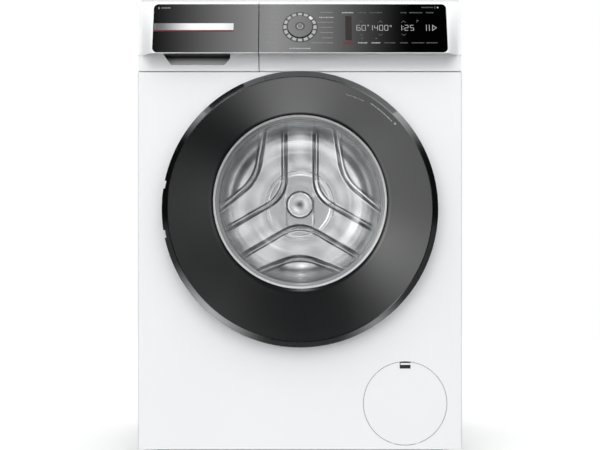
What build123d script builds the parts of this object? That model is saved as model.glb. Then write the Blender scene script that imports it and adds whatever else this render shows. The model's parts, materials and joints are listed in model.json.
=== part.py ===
"""Front load washing machine, modelled as an assembly of separate pieces, in millimetres.

Frame: origin on the floor under the middle of the machine. +X is to the right as seen from the front,
-Y is the front, +Z is up. The drum turns about an axis along Y.
Each function makes one group of pieces and saves every piece to parts/NODE.step.
"""

import math
import os

from build123d import *

# ---------------------------------------------------------------- driving dimensions
WIDTH = 598.0
HEIGHT = 852.0
HALF_DEPTH = 316.5  # the door's front edge and the rear cover stand this far from the middle
FRONT = -273.5  # outer face of the front panel
REAR = 306.0  # inner face of the rear panel
FOOT_HEIGHT = 19.5  # from the floor to the bottom edge of the cabinet
CABINET_TOP = 829.0  # top of the side panels, where the worktop rests
SHEET = 0.8  # steel sheet
WALL = 2.5  # moulded plastic

PANEL_TOP = 715.0  # top edge of the front panel
FASCIA_BOTTOM = 716.5
FASCIA_TOP = 846.5
DRAWER_SPLIT = -75.5  # the line between the drawer front and the fascia
SPLIT_GAP = 1.6

SCREEN_TILT = 25.2  # the glossy screen leans back by this angle
SCREEN_LOW = (FRONT - 41.0, 747.0)  # y, z of the screen's lower edge
SCREEN_RISE = 93.4
SCREEN_HALF_WIDTH = 269.0
SCREEN_CORNER_R = 9.0

DRUM_Z = 476.0  # height of the drum's axis
DRUM_R = 243.0
DRUM_FRONT = -187.0
DRUM_REAR = 170.0
DRUM_MOUTH_R = 178.0
TUB_R = 264.0  # outside of the tub
TUB_WALL = 4.0
TUB_FRONT = -205.0
TUB_REAR = 198.0
TUB_SEAM = -40.0
PULLEY_Y = (240.0, 256.0)
PULLEY_R = 150.0
MOTOR_PULLEY_R = 12.0
MOTOR_X = 0.0
MOTOR_Z = 138.0

DOOR_Z = 462.0  # centre of the door's outer ring, a little below the window's centre
DOOR_R = 252.0
WINDOW_R = 159.0
BEZEL_INNER_R = 240.5
BEZEL_BACK = FRONT - 11.5
HINGE_X = -232.0
HINGE_Y = FRONT - 28.0
HINGE_ARM_DZ = 45.0  # the two fixed arms stand this far above and below the door's centre
HINGE_SWEEP_R = 43.0  # room that the fixed arms need inside the door

FLAP_CENTRE = (193.8, 104.5)
FLAP_R = 76.5
FLAP_AXIS = (FRONT + 1.1, FLAP_CENTRE[1] - FLAP_R + 3.0)  # y, z of the flap's hinge
PUMP_Z = 96.0
FOOT_PLACES = {
    "foot_front_left": (-255.0, -235.0),
    "foot_front_right": (255.0, -235.0),
    "foot_rear_left": (-255.0, 262.0),
    "foot_rear_right": (255.0, 262.0),
}
DAMPER_PLACES = [(x, y) for x in (-190.0, 190.0) for y in (-19.0, 130.0)]
SPRING_PLACES = [(-277.0, 60.0), (277.0, 60.0)]

os.makedirs("parts", exist_ok=True)


# ---------------------------------------------------------------- helpers
def save(name, shape):
    """Writes one node, which holds one or more closed solids."""
    shape.label = name
    export_step(shape, f"parts/{name}.step")


def block(x0, x1, y0, y1, z0, z1):
    """A box between two corners."""
    return Pos((x0 + x1) / 2, (y0 + y1) / 2, (z0 + z1) / 2) * Box(abs(x1 - x0), abs(y1 - y0), abs(z1 - z0))


def rod_y(r, y0, y1, x=0.0, z=DRUM_Z):
    """A round bar along Y."""
    return Pos(x, (y0 + y1) / 2, z) * Rot(90, 0, 0) * Cylinder(r, abs(y1 - y0))


def rod_z(r, z0, z1, x=0.0, y=0.0):
    """A round bar along Z."""
    return Pos(x, y, (z0 + z1) / 2) * Cylinder(r, abs(z1 - z0))


def rod_x(r, x0, x1, y=0.0, z=0.0):
    """A round bar along X."""
    return Pos((x0 + x1) / 2, y, z) * Rot(0, 90, 0) * Cylinder(r, abs(x1 - x0))


def ring_y(r_out, r_in, y0, y1, x=0.0, z=DRUM_Z):
    """A round tube along Y."""
    return rod_y(r_out, y0, y1, x, z) - rod_y(r_in, min(y0, y1) - 1, max(y0, y1) + 1, x, z)


def ring_z(r_out, r_in, z0, z1, x=0.0, y=0.0):
    """A round tube along Z."""
    return rod_z(r_out, z0, z1, x, y) - rod_z(r_in, min(z0, z1) - 1, max(z0, z1) + 1, x, y)


def turned(face_or_points, x=0.0, z=DRUM_Z, round_r=0.0):
    """Turns an outline of (radius, y) points, or a face drawn in XY, about an axis along Y."""
    face = face_or_points
    if isinstance(face, list):
        face = make_face(Polyline(*face, close=True))
    if round_r:
        face = fillet(face.vertices(), round_r)
    return Pos(x, 0, z) * revolve(face, axis=Axis((0, 0, 0), (0, 1, 0)), revolution_arc=360)


def side_outline(points, x0, x1):
    """A prism along X over an outline of (y, z) points."""
    face = make_face(Polyline(*[(x0, y, z) for y, z in points], close=True))
    return extrude(face, amount=x1 - x0, dir=(1, 0, 0))


def front_disc(r, y0, y1, centre):
    """A disc that faces the front, centred at (x, z)."""
    return rod_y(r, y0, y1, centre[0], centre[1])


def group(solids):
    """Several separate solids in one node."""
    return Compound(children=list(solids))


def angle_point(radius, degrees, z=DRUM_Z):
    """(x, z) at that radius and angle about the drum's axis, with 90 degrees at the top."""
    a = math.radians(degrees)
    return radius * math.cos(a), z + radius * math.sin(a)


# ---------------------------------------------------------------- cabinet
def base_pan():
    """Shallow floor tray with a boss for each foot and a post for each damper."""
    half = WIDTH / 2 - SHEET - 0.7
    y0, y1 = FRONT + 17, REAR - 1.8
    low, high = FOOT_HEIGHT, FOOT_HEIGHT + 34
    pan = block(-half, half, y0, y1, low, high)
    pan -= block(-half + WALL, half - WALL, y0 + WALL, y1 - WALL, low + WALL, high + 1)
    for x, y in FOOT_PLACES.values():
        pan += rod_z(15, low, high - 4, x, y)
    for x, y in DAMPER_PLACES:
        pan += rod_z(11, low, low + 20, x, y)
    for x, y in FOOT_PLACES.values():
        pan -= rod_z(5.05, low - 1, high + 1, x, y)
    save("base_pan", pan)


def feet():
    """Four levelling feet: a round pad, a spanner hexagon and a threaded stud."""
    for name, (x, y) in FOOT_PLACES.items():
        pad = fillet(rod_z(21, 0, 9, x, y).edges(), 1.5)
        hexagon = Pos(x, y, 9) * extrude(RegularPolygon(11, 6), amount=6)
        save(name, pad + hexagon + rod_z(5, 8, 46, x, y))


def side_panels():
    """Left and right steel sides, folded inwards along the top and the rear."""
    y0 = FRONT + 16.5
    for name, side in (("side_panel_left", -1), ("side_panel_right", 1)):
        outer = side * WIDTH / 2
        inner = side * (WIDTH / 2 - SHEET)
        folded = side * (WIDTH / 2 - 18)
        sheet = block(outer, inner, y0, REAR, FOOT_HEIGHT, CABINET_TOP)
        sheet -= block(outer + side, inner - side, y0 - 1, FRONT + 29.5, PANEL_TOP, CABINET_TOP + 1)
        sheet += block(outer, folded, REAR - SHEET, REAR, FOOT_HEIGHT, CABINET_TOP)
        sheet += block(outer, folded, FRONT + 40, REAR, CABINET_TOP - SHEET, CABINET_TOP)
        hook_x, hook_y = SPRING_PLACES[0 if side < 0 else 1]
        sheet += block(inner, hook_x - side * 8, hook_y - 12, hook_y + 12, 806, 809)
        save(name, sheet)


def rear_panel():
    """Flat steel back with a service opening and holes for the water, drain and mains connections."""
    half = WIDTH / 2 - 0.5
    sheet = block(-half, half, REAR, REAR + SHEET, FOOT_HEIGHT + 2, CABINET_TOP)
    holes = [(155, 0, DRUM_Z), (21, *INLET_PLACE), (18, *DRAIN_PLACE), (9.5, *MAINS_PLACE)]
    for r, x, z in holes:
        sheet -= rod_y(r, REAR - 1, REAR + 2, x, z)
    save("rear_panel", sheet)


def rear_cover():
    """Shallow pressed lid over the service opening."""
    y = REAR + SHEET
    crest = HALF_DEPTH
    lid = turned(
        [
            (0, crest - SHEET),
            (138, crest - SHEET),
            (150, y + SHEET),
            (150, y),
            (168, y),
            (168, y + SHEET),
            (151, y + SHEET),
            (139, crest),
            (0, crest),
        ]
    )
    save("rear_cover", lid)


def front_panel():
    """Steel front with the door opening, the service opening and the lock slot, folded back at both sides."""
    half = WIDTH / 2
    plan = Pos(0, FRONT + 16) * Rectangle(WIDTH, 32)
    front_edges = plan.vertices().filter_by(lambda v: v.Y < FRONT + 1)
    outline = fillet(front_edges, 4)
    hollow = Pos(0, FRONT + 16 + SHEET) * Rectangle(WIDTH - 2 * SHEET, 32)
    hollow = fillet(hollow.vertices().filter_by(lambda v: v.Y < FRONT + 2), 4 - SHEET)
    low, high = FOOT_HEIGHT, PANEL_TOP
    sheet = Pos(0, 0, low) * extrude(outline - hollow, amount=high - low)
    sheet -= block(-half - 1, half + 1, FRONT + 16, FRONT + 40, low - 1, high + 1)
    sheet += block(-half + 3, half - 3, FRONT, FRONT + 14, high - SHEET, high)
    sheet += block(-half + 3, half - 3, FRONT, FRONT + 14, low, low + SHEET)
    sheet += ring_y(196 + SHEET, 196, FRONT, FRONT + 12)
    sheet -= rod_y(196, FRONT - 1, FRONT + 30)
    sheet -= front_disc(FLAP_R + 1.0, FRONT - 1, FRONT + 5, FLAP_CENTRE)
    sheet -= block(207, 226, FRONT - 1, FRONT + 5, DOOR_Z - 13, DOOR_Z + 13)
    for side in (-1, 1):
        near = FLAP_CENTRE[0] + side * 19
        far = FLAP_CENTRE[0] + side * 32.6
        sheet -= block(near, far, FRONT - 1, FRONT + 5, FLAP_AXIS[1] - 2.9, FLAP_AXIS[1] + 2.9)
    save("front_panel", sheet)


def filter_tray():
    """Moulded recess behind the service opening, with the flap's two hinge ears."""
    x, z = FLAP_CENTRE
    tray = ring_y(82, 80, FRONT + SHEET + 0.3, FRONT + 15.5, x, z)
    tray += rod_y(81, FRONT + 13.5, FRONT + 15.5, x, z)
    tray -= rod_y(35, FRONT + 10, FRONT + 20, x, PUMP_Z)
    for side in (-1, 1):
        inner = x + side * 28.6
        outer = x + side * 31.8
        ear_z = FLAP_AXIS[1]
        tray += block(inner, outer, FRONT + 0.1, FRONT + 14, ear_z - 2.2, ear_z + 2.2)
    tray -= rod_x(1.05, x - 40, x + 40, *FLAP_AXIS)
    save("filter_tray", tray)


def front_crossbar():
    """Folded steel channel that joins the sides behind the top of the front panel."""
    half = WIDTH / 2 - SHEET - 0.5
    low, high = 688.0, PANEL_TOP - 2
    y0, y1 = FRONT + 3, FRONT + 27
    bar = block(-half, half, y0, y1, low, high)
    bar -= block(-half - 1, half + 1, y0 + 1.2, y1 + 1, low + 1.2, high - 1.2)
    save("front_crossbar", bar)


def worktop():
    """Laminated board with rounded front corners."""
    half = WIDTH / 2 - 1.5
    y0, y1 = FRONT + 29, REAR + SHEET
    board = block(-half, half, y0, y1, CABINET_TOP, HEIGHT)
    front_corners = board.edges().filter_by(Axis.Z).filter_by(lambda e: e.center().Y < 0)
    board = fillet(front_corners, 8)
    board = fillet(board.edges().filter_by(lambda e: e.center().Z > HEIGHT - 0.1), 2.5)
    save("worktop", board)


# ---------------------------------------------------------------- control fascia and drawer front
def screen_point(v, out=0.0):
    """(y, z) at v millimetres up the screen from its lower edge and out millimetres in front of it."""
    a = math.radians(SCREEN_TILT)
    y, z = SCREEN_LOW
    return y + v * math.sin(a) - out * math.cos(a), z + v * math.cos(a) + out * math.sin(a)


SCREEN_LENGTH = SCREEN_RISE / math.cos(math.radians(SCREEN_TILT))
DIAL_V = 53.3  # the dial's centre, up the screen from its lower edge


def fascia_profile():
    """The fascia's outline from the side, drawn as (y, z): a cove, a nose, the tilted face and a top edge."""
    low_y, low_z = screen_point(0)
    high_y, high_z = screen_point(SCREEN_LENGTH)
    cove_low = (FRONT, FASCIA_BOTTOM + 3)
    cove_middle = (FRONT - 12, FASCIA_BOTTOM + 18)
    cove_high = (low_y + 2, low_z - 1.8)
    rest = Polyline(
        cove_high,
        (low_y, low_z - 0.6),
        (high_y, high_z),
        (high_y + 1.2, high_z + 2.2),
        (high_y + 5, FASCIA_TOP),
        (FRONT + 28.5, FASCIA_TOP),
        (FRONT + 28.5, FASCIA_BOTTOM),
        (FRONT, FASCIA_BOTTOM),
        cove_low,
    )
    return make_face(Wire(Curve() + [ThreePointArc(cove_low, cove_middle, cove_high), rest]))


def along_x(face, x0, x1):
    """A prism from x0 to x1 over a face drawn as (y, z)."""
    side = Plane(origin=(x0, 0, 0), x_dir=(0, 1, 0), z_dir=(1, 0, 0))
    return side.location * extrude(face, amount=x1 - x0)


def fascia_plan(inset):
    """The fascia's outline from above: straight in front, with ends that curve back to the sides."""
    nose = FRONT - 42
    side = WIDTH / 2 - 0.5
    turn_in = (270.5, nose)
    turn_middle = (288.5, FRONT - 29)
    turn_out = (297, FRONT)
    right = [
        ThreePointArc(turn_in, turn_middle, turn_out),
        Polyline(turn_out, (side, FRONT + 28.5), (0, FRONT + 28.5)),
        Line((0, nose), turn_in),
    ]
    half = make_face(Wire(Curve() + [*right, Line((0, FRONT + 28.5), (0, nose))]))
    plan = half + mirror(half, about=Plane.YZ)
    if inset:
        plan = offset(plan, -inset, kind=Kind.INTERSECTION)
        plan += Pos(0, FRONT + 25) * Rectangle(WIDTH - 1 - 2 * inset, 12)
    return Pos(0, 0, FASCIA_BOTTOM - 5) * extrude(plan, amount=200)


def fascia_shell(x0, x1, wall=4.0):
    """A hollow stretch of the fascia between x0 and x1, open at the back."""
    profile = fascia_profile()
    outside = along_x(profile, x0, x1) & fascia_plan(0)
    in0 = x0 + WALL if x0 > -WIDTH / 2 else x0
    in1 = x1 - WALL if x1 < WIDTH / 2 else x1
    inside = along_x(offset(profile, -wall, kind=Kind.INTERSECTION), in0, in1) & fascia_plan(WALL)
    back = block(in0, in1, FRONT + 20, FRONT + 40, FASCIA_BOTTOM + wall, FASCIA_TOP - wall)
    return outside - inside - (back & fascia_plan(WALL))


def screen_slab(x0, x1, back, front):
    """A slab on the tilted face from x0 to x1, between two depths in front of the face."""
    left = max(x0, -SCREEN_HALF_WIDTH)
    right = min(x1, SCREEN_HALF_WIDTH)
    corners = [(left, 0), (right, 0), (right, SCREEN_LENGTH), (left, SCREEN_LENGTH)]
    outline = make_face(Polyline(*corners, close=True))
    outer = [v for v in outline.vertices() if abs(v.X) > SCREEN_HALF_WIDTH - 1]
    outline = fillet(outer, SCREEN_CORNER_R)
    y, z = screen_point(0, back)
    plane = Plane(origin=(0, y, z), x_dir=(1, 0, 0), z_dir=SCREEN_NORMAL)
    return extrude(plane * outline, amount=front - back, dir=SCREEN_NORMAL)


SCREEN_NORMAL = (0, -math.cos(math.radians(SCREEN_TILT)), math.sin(math.radians(SCREEN_TILT)))


def on_screen(x, v, out):
    """Places a shape drawn around +Z so that it stands on the tilted face, at x and v."""
    y, z = screen_point(v, out)
    return Plane(origin=(x, y, z), x_dir=(1, 0, 0), z_dir=SCREEN_NORMAL).location


def dial_bore(r, back, front):
    """A round bar on the dial's axis, between two depths in front of the screen."""
    middle = (back + front) / 2
    return on_screen(0, DIAL_V, middle) * Cylinder(r, front - back)


def fascia_and_controls():
    """White fascia with its glossy screen, the light ring, the dial, the start button and the circuit board."""
    x0 = DRAWER_SPLIT + SPLIT_GAP / 2
    shell = fascia_shell(x0, WIDTH / 2)
    shell -= screen_slab(x0 - 1, WIDTH / 2, -2.4, 5)
    shell -= dial_bore(12, -20, 5)
    save("fascia", shell)

    screen = screen_slab(x0, WIDTH / 2, -2.4, 0.6)
    screen -= dial_bore(32.2, -0.6, 5)
    screen -= dial_bore(12, -5, 5)
    save("display_screen", screen)

    light_ring = dial_bore(32.0, -0.5, 0.9) - dial_bore(24.6, -5, 5)
    save("dial_ring", light_ring)

    dial = dial_bore(24.0, -0.3, 4.2)
    dial = fillet(dial.edges(), 0.8)
    dial += dial_bore(11.5, -9, 0)
    dial -= dial_bore(8.0, -20, 6)
    save("program_dial", dial)

    button = dial_bore(7.6, -8, 4.0)
    button = fillet(button.edges(), 0.6)
    save("power_button", button)

    board = on_screen(100, SCREEN_LENGTH / 2, -16) * Box(318, 78, 1.6)
    board += on_screen(150, SCREEN_LENGTH / 2, -12.5) * Box(150, 46, 5.6)
    save("control_board", board)


def drawer():
    """Drawer front with a grip under the screen, its own stretch of screen and the tray with compartments."""
    x1 = DRAWER_SPLIT - SPLIT_GAP / 2
    front = fascia_shell(-WIDTH / 2, x1)
    grip = block(-251, -124, FRONT - 45, FRONT + 16, 722, 748)
    front += grip & along_x(fascia_profile(), -WIDTH / 2, x1)
    pocket = [
        (FRONT - 50, 744.8),
        (FRONT + 13.5, 744.8),
        (FRONT + 13.5, 738),
        (FRONT - 3, 727.5),
        (FRONT - 50, 727.5),
    ]
    mouth = [(-250, 746), (-127, 746), (-129, 738), (-140, 727), (-237, 727)]
    mouth_face = make_face(Polyline(*[(x, FRONT - 60, z) for x, z in mouth], close=True))
    front -= side_outline(pocket, -250, -127) & extrude(mouth_face, amount=90, dir=(0, 1, 0))
    front -= screen_slab(-WIDTH / 2, x1 + 1, -2.4, 5)
    front += block(-297, x1 - 1, FRONT + 26, FRONT + 28.5, 750, 812)
    save("drawer_front", front)
    save("drawer_screen", screen_slab(-WIDTH / 2, x1, -2.4, 0.6))

    y0, y1 = FRONT + 28.5, 15.0
    low, high = 750.0, 806.0
    tray = block(-288, -102, y0, y1, low, high)
    for a0, a1, b0, b1 in TRAY_CELLS:
        tray -= block(a0, a1, b0, b1, low + WALL, high + 1)
    save("drawer_tray", tray)


TRAY_CELLS = [
    (-285.5, -198.0, FRONT + 31, -126.0),
    (-285.5, -198.0, -123.5, 12.5),
    (-195.5, -104.5, FRONT + 31, -60.0),
    (-195.5, -104.5, -57.5, 12.5),
]


# ---------------------------------------------------------------- water path
INLET_PLACE = (-200.0, 775.0)
DRAIN_PLACE = (240.0, 690.0)
MAINS_PLACE = (215.0, 780.0)
SUMP = (130.0, -100.0)
FILL = (-215.0, -8.0)


def dispenser_housing():
    """Open fronted box that the drawer slides into, with an outlet underneath."""
    y0, y1 = FRONT + 30, 40.0
    box = block(-293, -97, y0, y1, 744, 822)
    box -= block(-293 + WALL, -97 - WALL, y0 - 1, y1 - WALL, 744 + WALL, 822 - WALL)
    box += rod_z(15, 736, 744.5, *FILL)
    box -= rod_z(12.5, 730, 744 + WALL + 1, *FILL)
    save("dispenser_housing", box)


def inlet_valve_and_hose():
    """Solenoid valve with a threaded spigot at the back, and the hose to the dispenser."""
    x, z = INLET_PLACE
    valve = block(x - 16, x + 16, 262, 294, z - 15, z + 22)
    valve += rod_y(13.2, 290, HALF_DEPTH, x, z)
    valve += rod_y(17, 292, 304, x, z)
    valve -= rod_y(9, 300, HALF_DEPTH + 1, x, z)
    valve += rod_y(6.5, 250, 263, x, z + 12)
    save("inlet_valve", valve)

    path = [(x, 249.8, z + 12), (x, 190, z + 12), (x + 30, 120, z + 26), (x + 30, 40.2, z + 26)]
    save("inlet_hose", tube(path, [60, 60], 8, 6))


def tube(points, radii, r_out, r_in):
    """A hose along straight runs that are joined by arcs."""
    path = FilletPolyline(*points, radius=radii)
    start = Plane(origin=points[0], z_dir=Vector(*points[1]) - Vector(*points[0]))
    outside = sweep(start * Circle(r_out), path=path)
    inside = sweep(start * Circle(r_in), path=path)
    return outside - inside


def bellows(x, y, z0, z1, r, wall, folds):
    """A corrugated sleeve along Z."""
    step = (z1 - z0) / (2 * folds)
    outer = [(r if i % 2 else r - 3, z0 + i * step) for i in range(2 * folds + 1)]
    inner = [(radius - wall, z) for radius, z in reversed(outer)]
    face = make_face(Polyline(*[(radius, 0, z) for radius, z in outer + inner], close=True))
    return Pos(x, y, 0) * revolve(face, axis=Axis.Z, revolution_arc=360)


def flexible_hoses():
    """The fill hose from the dispenser to the tub and the sump hose from the tub to the pump."""
    save("dispenser_hose", bellows(*FILL, 668.2, 735.8, 18, 2.5, 6))
    save("sump_hose", bellows(*SUMP, 150.2, 222.8, 28, 3, 5))


def drain_pump_and_filter():
    """Pump with its filter housing and inlet, the screw-in filter, and the pipe up to the drain spigot."""
    x, z = FLAP_CENTRE[0], PUMP_Z
    y0 = FRONT + 16
    housing = ring_y(34, 30, y0, -160, x, z)
    housing += rod_y(34, -160.5, -150, x, z)
    housing += rod_y(24, -151, -60, x, z)
    housing += block(x - 30, x + 30, -240, -60, FOOT_HEIGHT + WALL, z - 26) - rod_y(33, -260, -50, x, z)
    sx, sy = SUMP
    elbow = rod_z(25, 84, 150, sx, sy) + rod_x(18, sx, x - 10, sy, 102)
    elbow -= rod_z(21, 88, 151, sx, sy)
    housing += elbow - rod_y(30, y0 - 5, -160, x, z)
    housing += rod_x(12, x + 10, x + 46, -75, 110)
    save("drain_pump", housing)

    knob = rod_y(29.6, y0 - 4, y0 + 6, x, z)
    knob += block(x - 24, x + 24, y0 - 13, y0 - 3, z - 4, z + 4)
    basket = ring_y(24, 22, y0 + 5, -176, x, z)
    for i in range(4):
        basket -= Pos(x, -215, z) * Rot(0, 45 * i, 0) * Box(9, 50, 80)
    basket += rod_y(24, -178, -175, x, z)
    save("pump_filter", knob + basket)

    start_x = x + 46.2
    dx, dz = DRAIN_PLACE
    path = [
        (start_x, -75, 110),
        (281, -75, 110),
        (281, -20, 112),
        (281, 272, 140),
        (dx, 272, 380),
        (dx, 272, dz),
        (dx, HALF_DEPTH - 1, dz),
    ]
    save("drain_pipe", tube(path, [16, 26, 60, 80, 25], 11, 9))


# ---------------------------------------------------------------- door
def door_ring():
    """Dark dished ring between the bezel and the window. The window sits above the ring's centre."""
    wide = Plane(origin=(0, -314, DOOR_Z), x_dir=(1, 0, 0), z_dir=(0, 1, 0))
    deep = Plane(origin=(0, -298, DRUM_Z), x_dir=(1, 0, 0), z_dir=(0, 1, 0))

    far = loft([wide * Circle(BEZEL_INNER_R), deep * Circle(WINDOW_R)], ruled=True)
    near = Pos(0, 3, 0) * far
    front = block(-300, 300, -340, -314, 150, 750)
    solid = rod_y(BEZEL_INNER_R - 0.3, -314, -295, 0, DOOR_Z)
    dish = (solid & near) - far - front
    dish -= rod_y(WINDOW_R, -330, -280)
    throat = ring_y(WINDOW_R + 3, WINDOW_R, -300, -295.2)
    save("door_ring", dish + throat)


def door_bezel():
    """Chamfered trim round the door's edge, notched at the left for the fixed hinge arms."""
    trim = turned(
        [
            (BEZEL_INNER_R, -315.3),
            (BEZEL_INNER_R + 1.2, -HALF_DEPTH),
            (DOOR_R, -306.5),
            (DOOR_R, BEZEL_BACK),
            (DOOR_R - 2.5, BEZEL_BACK),
            (DOOR_R - 2.5, -305.0),
            (BEZEL_INNER_R + 1.2, -313.6),
            (BEZEL_INNER_R, -313.6),
        ],
        z=DOOR_Z,
    )
    save("door_bezel", trim - hinge_room())


def hinge_room():
    """The space that the fixed hinge arms pass through while the door swings."""
    room = []
    for side in (-1, 1):
        z = DOOR_Z + side * HINGE_ARM_DZ
        room.append(rod_z(HINGE_SWEEP_R, z - 7, z + 7, HINGE_X, HINGE_Y))
    front = block(-400, 0, -400, HINGE_Y - 8.2, 300, 600)
    return group(room) - front


def door_frame():
    """White inner frame that holds the glass, with a grip pocket behind the right edge."""
    z = DOOR_Z
    body = rod_y(249.0, -304.5, BEZEL_BACK, 0, z)
    body += rod_y(228.0, BEZEL_BACK - 1, FRONT - 4.5, 0, z)
    dish_back = Pos(0, 3.6, 0) * loft(
        [
            Plane(origin=(0, -314, DOOR_Z), x_dir=(1, 0, 0), z_dir=(0, 1, 0)) * Circle(BEZEL_INNER_R),
            Plane(origin=(0, -298, DRUM_Z), x_dir=(1, 0, 0), z_dir=(0, 1, 0)) * Circle(WINDOW_R),
        ],
        ruled=True,
    )
    body -= dish_back
    body -= rod_y(178.5, -320, -289.8)
    body -= rod_y(156.0, -300, -270)
    hollow = rod_y(222, -320, FRONT - 4.5 - WALL, 0, z) - rod_y(182, -320, -260)
    body -= hollow
    pocket = ring_y(243, 226, -301, BEZEL_BACK + 1, 0, z)
    body -= pocket & block(100, 260, -330, -270, z - 70, z + 70)
    body -= hinge_room()
    barrel_room = rod_z(8, z - HINGE_ARM_DZ - 5, z + HINGE_ARM_DZ + 5, HINGE_X, HINGE_Y)
    body -= barrel_room
    body -= block(HINGE_X, HINGE_X + 34, HINGE_Y - 6, HINGE_Y + 30, z - 37.2, z + 37.2)
    body -= block(210, 223, -300, -270, z - 11.2, z + 11.2)
    save("door_frame", body)


def door_glass():
    """Deep glass bowl with a flat rim. Its wall follows the arc that clears the seal as the door swings."""
    swing = math.hypot(149 + abs(HINGE_X), 28)

    def wall_radius(y):
        return math.sqrt(swing**2 - (y - HINGE_Y) ** 2) - abs(HINGE_X)

    depths = [FRONT - 8 + 12 * i for i in range(9)]
    outer = [(wall_radius(y), y) for y in depths]
    tip_r, tip_y = outer[-1]
    floor_y = tip_y + 14
    outline = Spline(*outer)
    inner = [(r - 4, y) for r, y in outer]
    wall_in = Spline(*inner)
    r0, y0 = outer[0]
    edges = [
        Polyline(inner[0], (r0 - 4, -294.6), (177.5, -294.6), (177.5, -290), (r0 + 5, -290), outer[0]),
        outline,
        Polyline(outer[-1], (tip_r - 12, floor_y - 3), (0, floor_y + 3), (0, floor_y - 1)),
        Polyline((0, floor_y - 1), (tip_r - 15, floor_y - 7), inner[-1]),
        wall_in,
    ]
    face = make_face(Wire(Curve() + edges))
    soft = [v for v in face.vertices() if v.X > 10 and v.Y > -289]
    face = fillet([v for v in soft if v.Y > tip_y - 4], 3.5)
    save("door_glass", turned(face))


def hinge():
    """Fixed bracket with two goose-neck arms, and the moving barrel with its pin."""
    z = DOOR_Z
    bracket = block(HINGE_X + 22, HINGE_X + 33, FRONT - 2.5, FRONT, z - 62, z + 62)
    for side in (-1, 1):
        zc = z + side * HINGE_ARM_DZ
        arm = block(HINGE_X, HINGE_X + 30, HINGE_Y - 2, HINGE_Y + 3, zc - 5, zc + 5)
        arm += block(HINGE_X + 24, HINGE_X + 30, HINGE_Y - 2, FRONT, zc - 5, zc + 5)
        arm += rod_z(6, zc - 5, zc + 5, HINGE_X, HINGE_Y)
        bracket += arm
    bracket -= rod_z(3.05, z - 80, z + 80, HINGE_X, HINGE_Y)
    save("door_hinge_bracket", bracket)

    barrel = rod_z(5.5, z - HINGE_ARM_DZ + 5.3, z + HINGE_ARM_DZ - 5.3, HINGE_X, HINGE_Y)
    barrel += block(HINGE_X, HINGE_X + 33.5, HINGE_Y, HINGE_Y + 4, z - 37, z + 37)
    barrel += rod_z(3, z - HINGE_ARM_DZ - 5, z + HINGE_ARM_DZ + 5, HINGE_X, HINGE_Y)
    save("door_hinge_arm", barrel)


def latch():
    """Hook on the door and the lock that takes it, behind the front panel."""
    z = DOOR_Z
    hook = block(210.3, 222.7, -299.5, -281.2, z - 11, z + 11)
    hook += block(214, 219, -282, FRONT + 20, z - 9, z + 9)
    hook += block(209, 219, FRONT + 14, FRONT + 20, z - 9, z + 9)
    save("door_hook", hook)

    y0 = FRONT + SHEET
    lock = block(201, 232, y0, y0 + 28, z - 38, z + 38)
    lock -= block(204.5, 223, y0 - 1, y0 + 25, z - 12, z + 12)
    save("door_lock", lock)


def door_gasket():
    """Rubber bellows between the front panel and the tub, with a sealing lip round the glass."""
    y = FRONT
    centre_line = [
        (193.6, y + 1.5),
        (193.6, y + 9),
        (172, y + 10),
        (151.8, y + 12),
        (156, y + 19),
        (181, y + 23),
        (184, y + 30),
        (181, y + 36),
        (160, y + 40),
        (158, y + 48),
        (163, y + 54),
        (187.6, y + 58),
        (187.6, y + 69),
    ]
    face = trace(Polyline(*centre_line), 3.6)
    save("door_gasket", turned(face.faces()[0] if len(face.faces()) == 1 else face))


# ---------------------------------------------------------------- tub, with all that hangs on it
def tub():
    """Front and rear halves of the plastic tub, bolted at a flange."""
    seam = TUB_SEAM
    inner = TUB_R - TUB_WALL
    front = turned(
        [
            (191, TUB_FRONT - 20),
            (195, TUB_FRONT - 20),
            (195, TUB_FRONT),
            (TUB_R, TUB_FRONT),
            (TUB_R, seam - 5),
            (TUB_R + 10, seam - 5),
            (TUB_R + 10, seam),
            (inner, seam),
            (inner, TUB_FRONT + TUB_WALL),
            (191, TUB_FRONT + TUB_WALL),
        ]
    )
    rear = turned(
        [
            (inner, seam),
            (TUB_R + 10, seam),
            (TUB_R + 10, seam + 5),
            (TUB_R, seam + 5),
            (TUB_R, TUB_REAR),
            (52, TUB_REAR),
            (46, TUB_REAR + 36),
            (HUB_BORE_R, TUB_REAR + 36),
            (HUB_BORE_R, TUB_REAR - TUB_WALL),
            (inner, TUB_REAR - TUB_WALL),
        ]
    )
    tub_room = rod_y(inner + 1, -400, 400)
    for x, y in DAMPER_PLACES:
        lug = block(x - 14, x + 14, y - 12, y + 12, 262, 320) - tub_room
        if y < seam:
            front += lug
        else:
            rear += lug
    for x, y in SPRING_PLACES:
        side = math.copysign(1, x)
        rear += block(side * 225, x, y - 9, y + 9, 596, 604) - tub_room
    sx, sy = SUMP
    front += rod_z(24, 223, 260, sx, sy) - tub_room
    fx, fy = FILL
    rear_nozzle = rod_z(15, 590, 668, fx, fy) - tub_room
    rear_nozzle -= rod_z(12, 500, 669, fx, fy)
    rear += rear_nozzle
    for y in (96, 176):
        rear += block(MOTOR_X - 36, MOTOR_X + 36, y - 8, y + 8, MOTOR_Z + 62.5, 230) - tub_room
    rear -= heater_seat(0.3)
    save("tub_front", front)
    save("tub_rear", rear)


HUB_BORE_R = 36.0
HEATER_X = 34.0
HEATER_R = 4.0
HEATER_Z = DRUM_Z - math.sqrt(251.5**2 - HEATER_X**2)


def heater_seat(grow):
    """The opening in the tub's rear wall that the heater's flange fills."""
    low, high = HEATER_Z - 9 - grow, HEATER_Z + 9 + grow
    half = HEATER_X + 10 + grow
    return block(-half, half, TUB_REAR - TUB_WALL - 1, TUB_REAR + 1, low, high)


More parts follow.
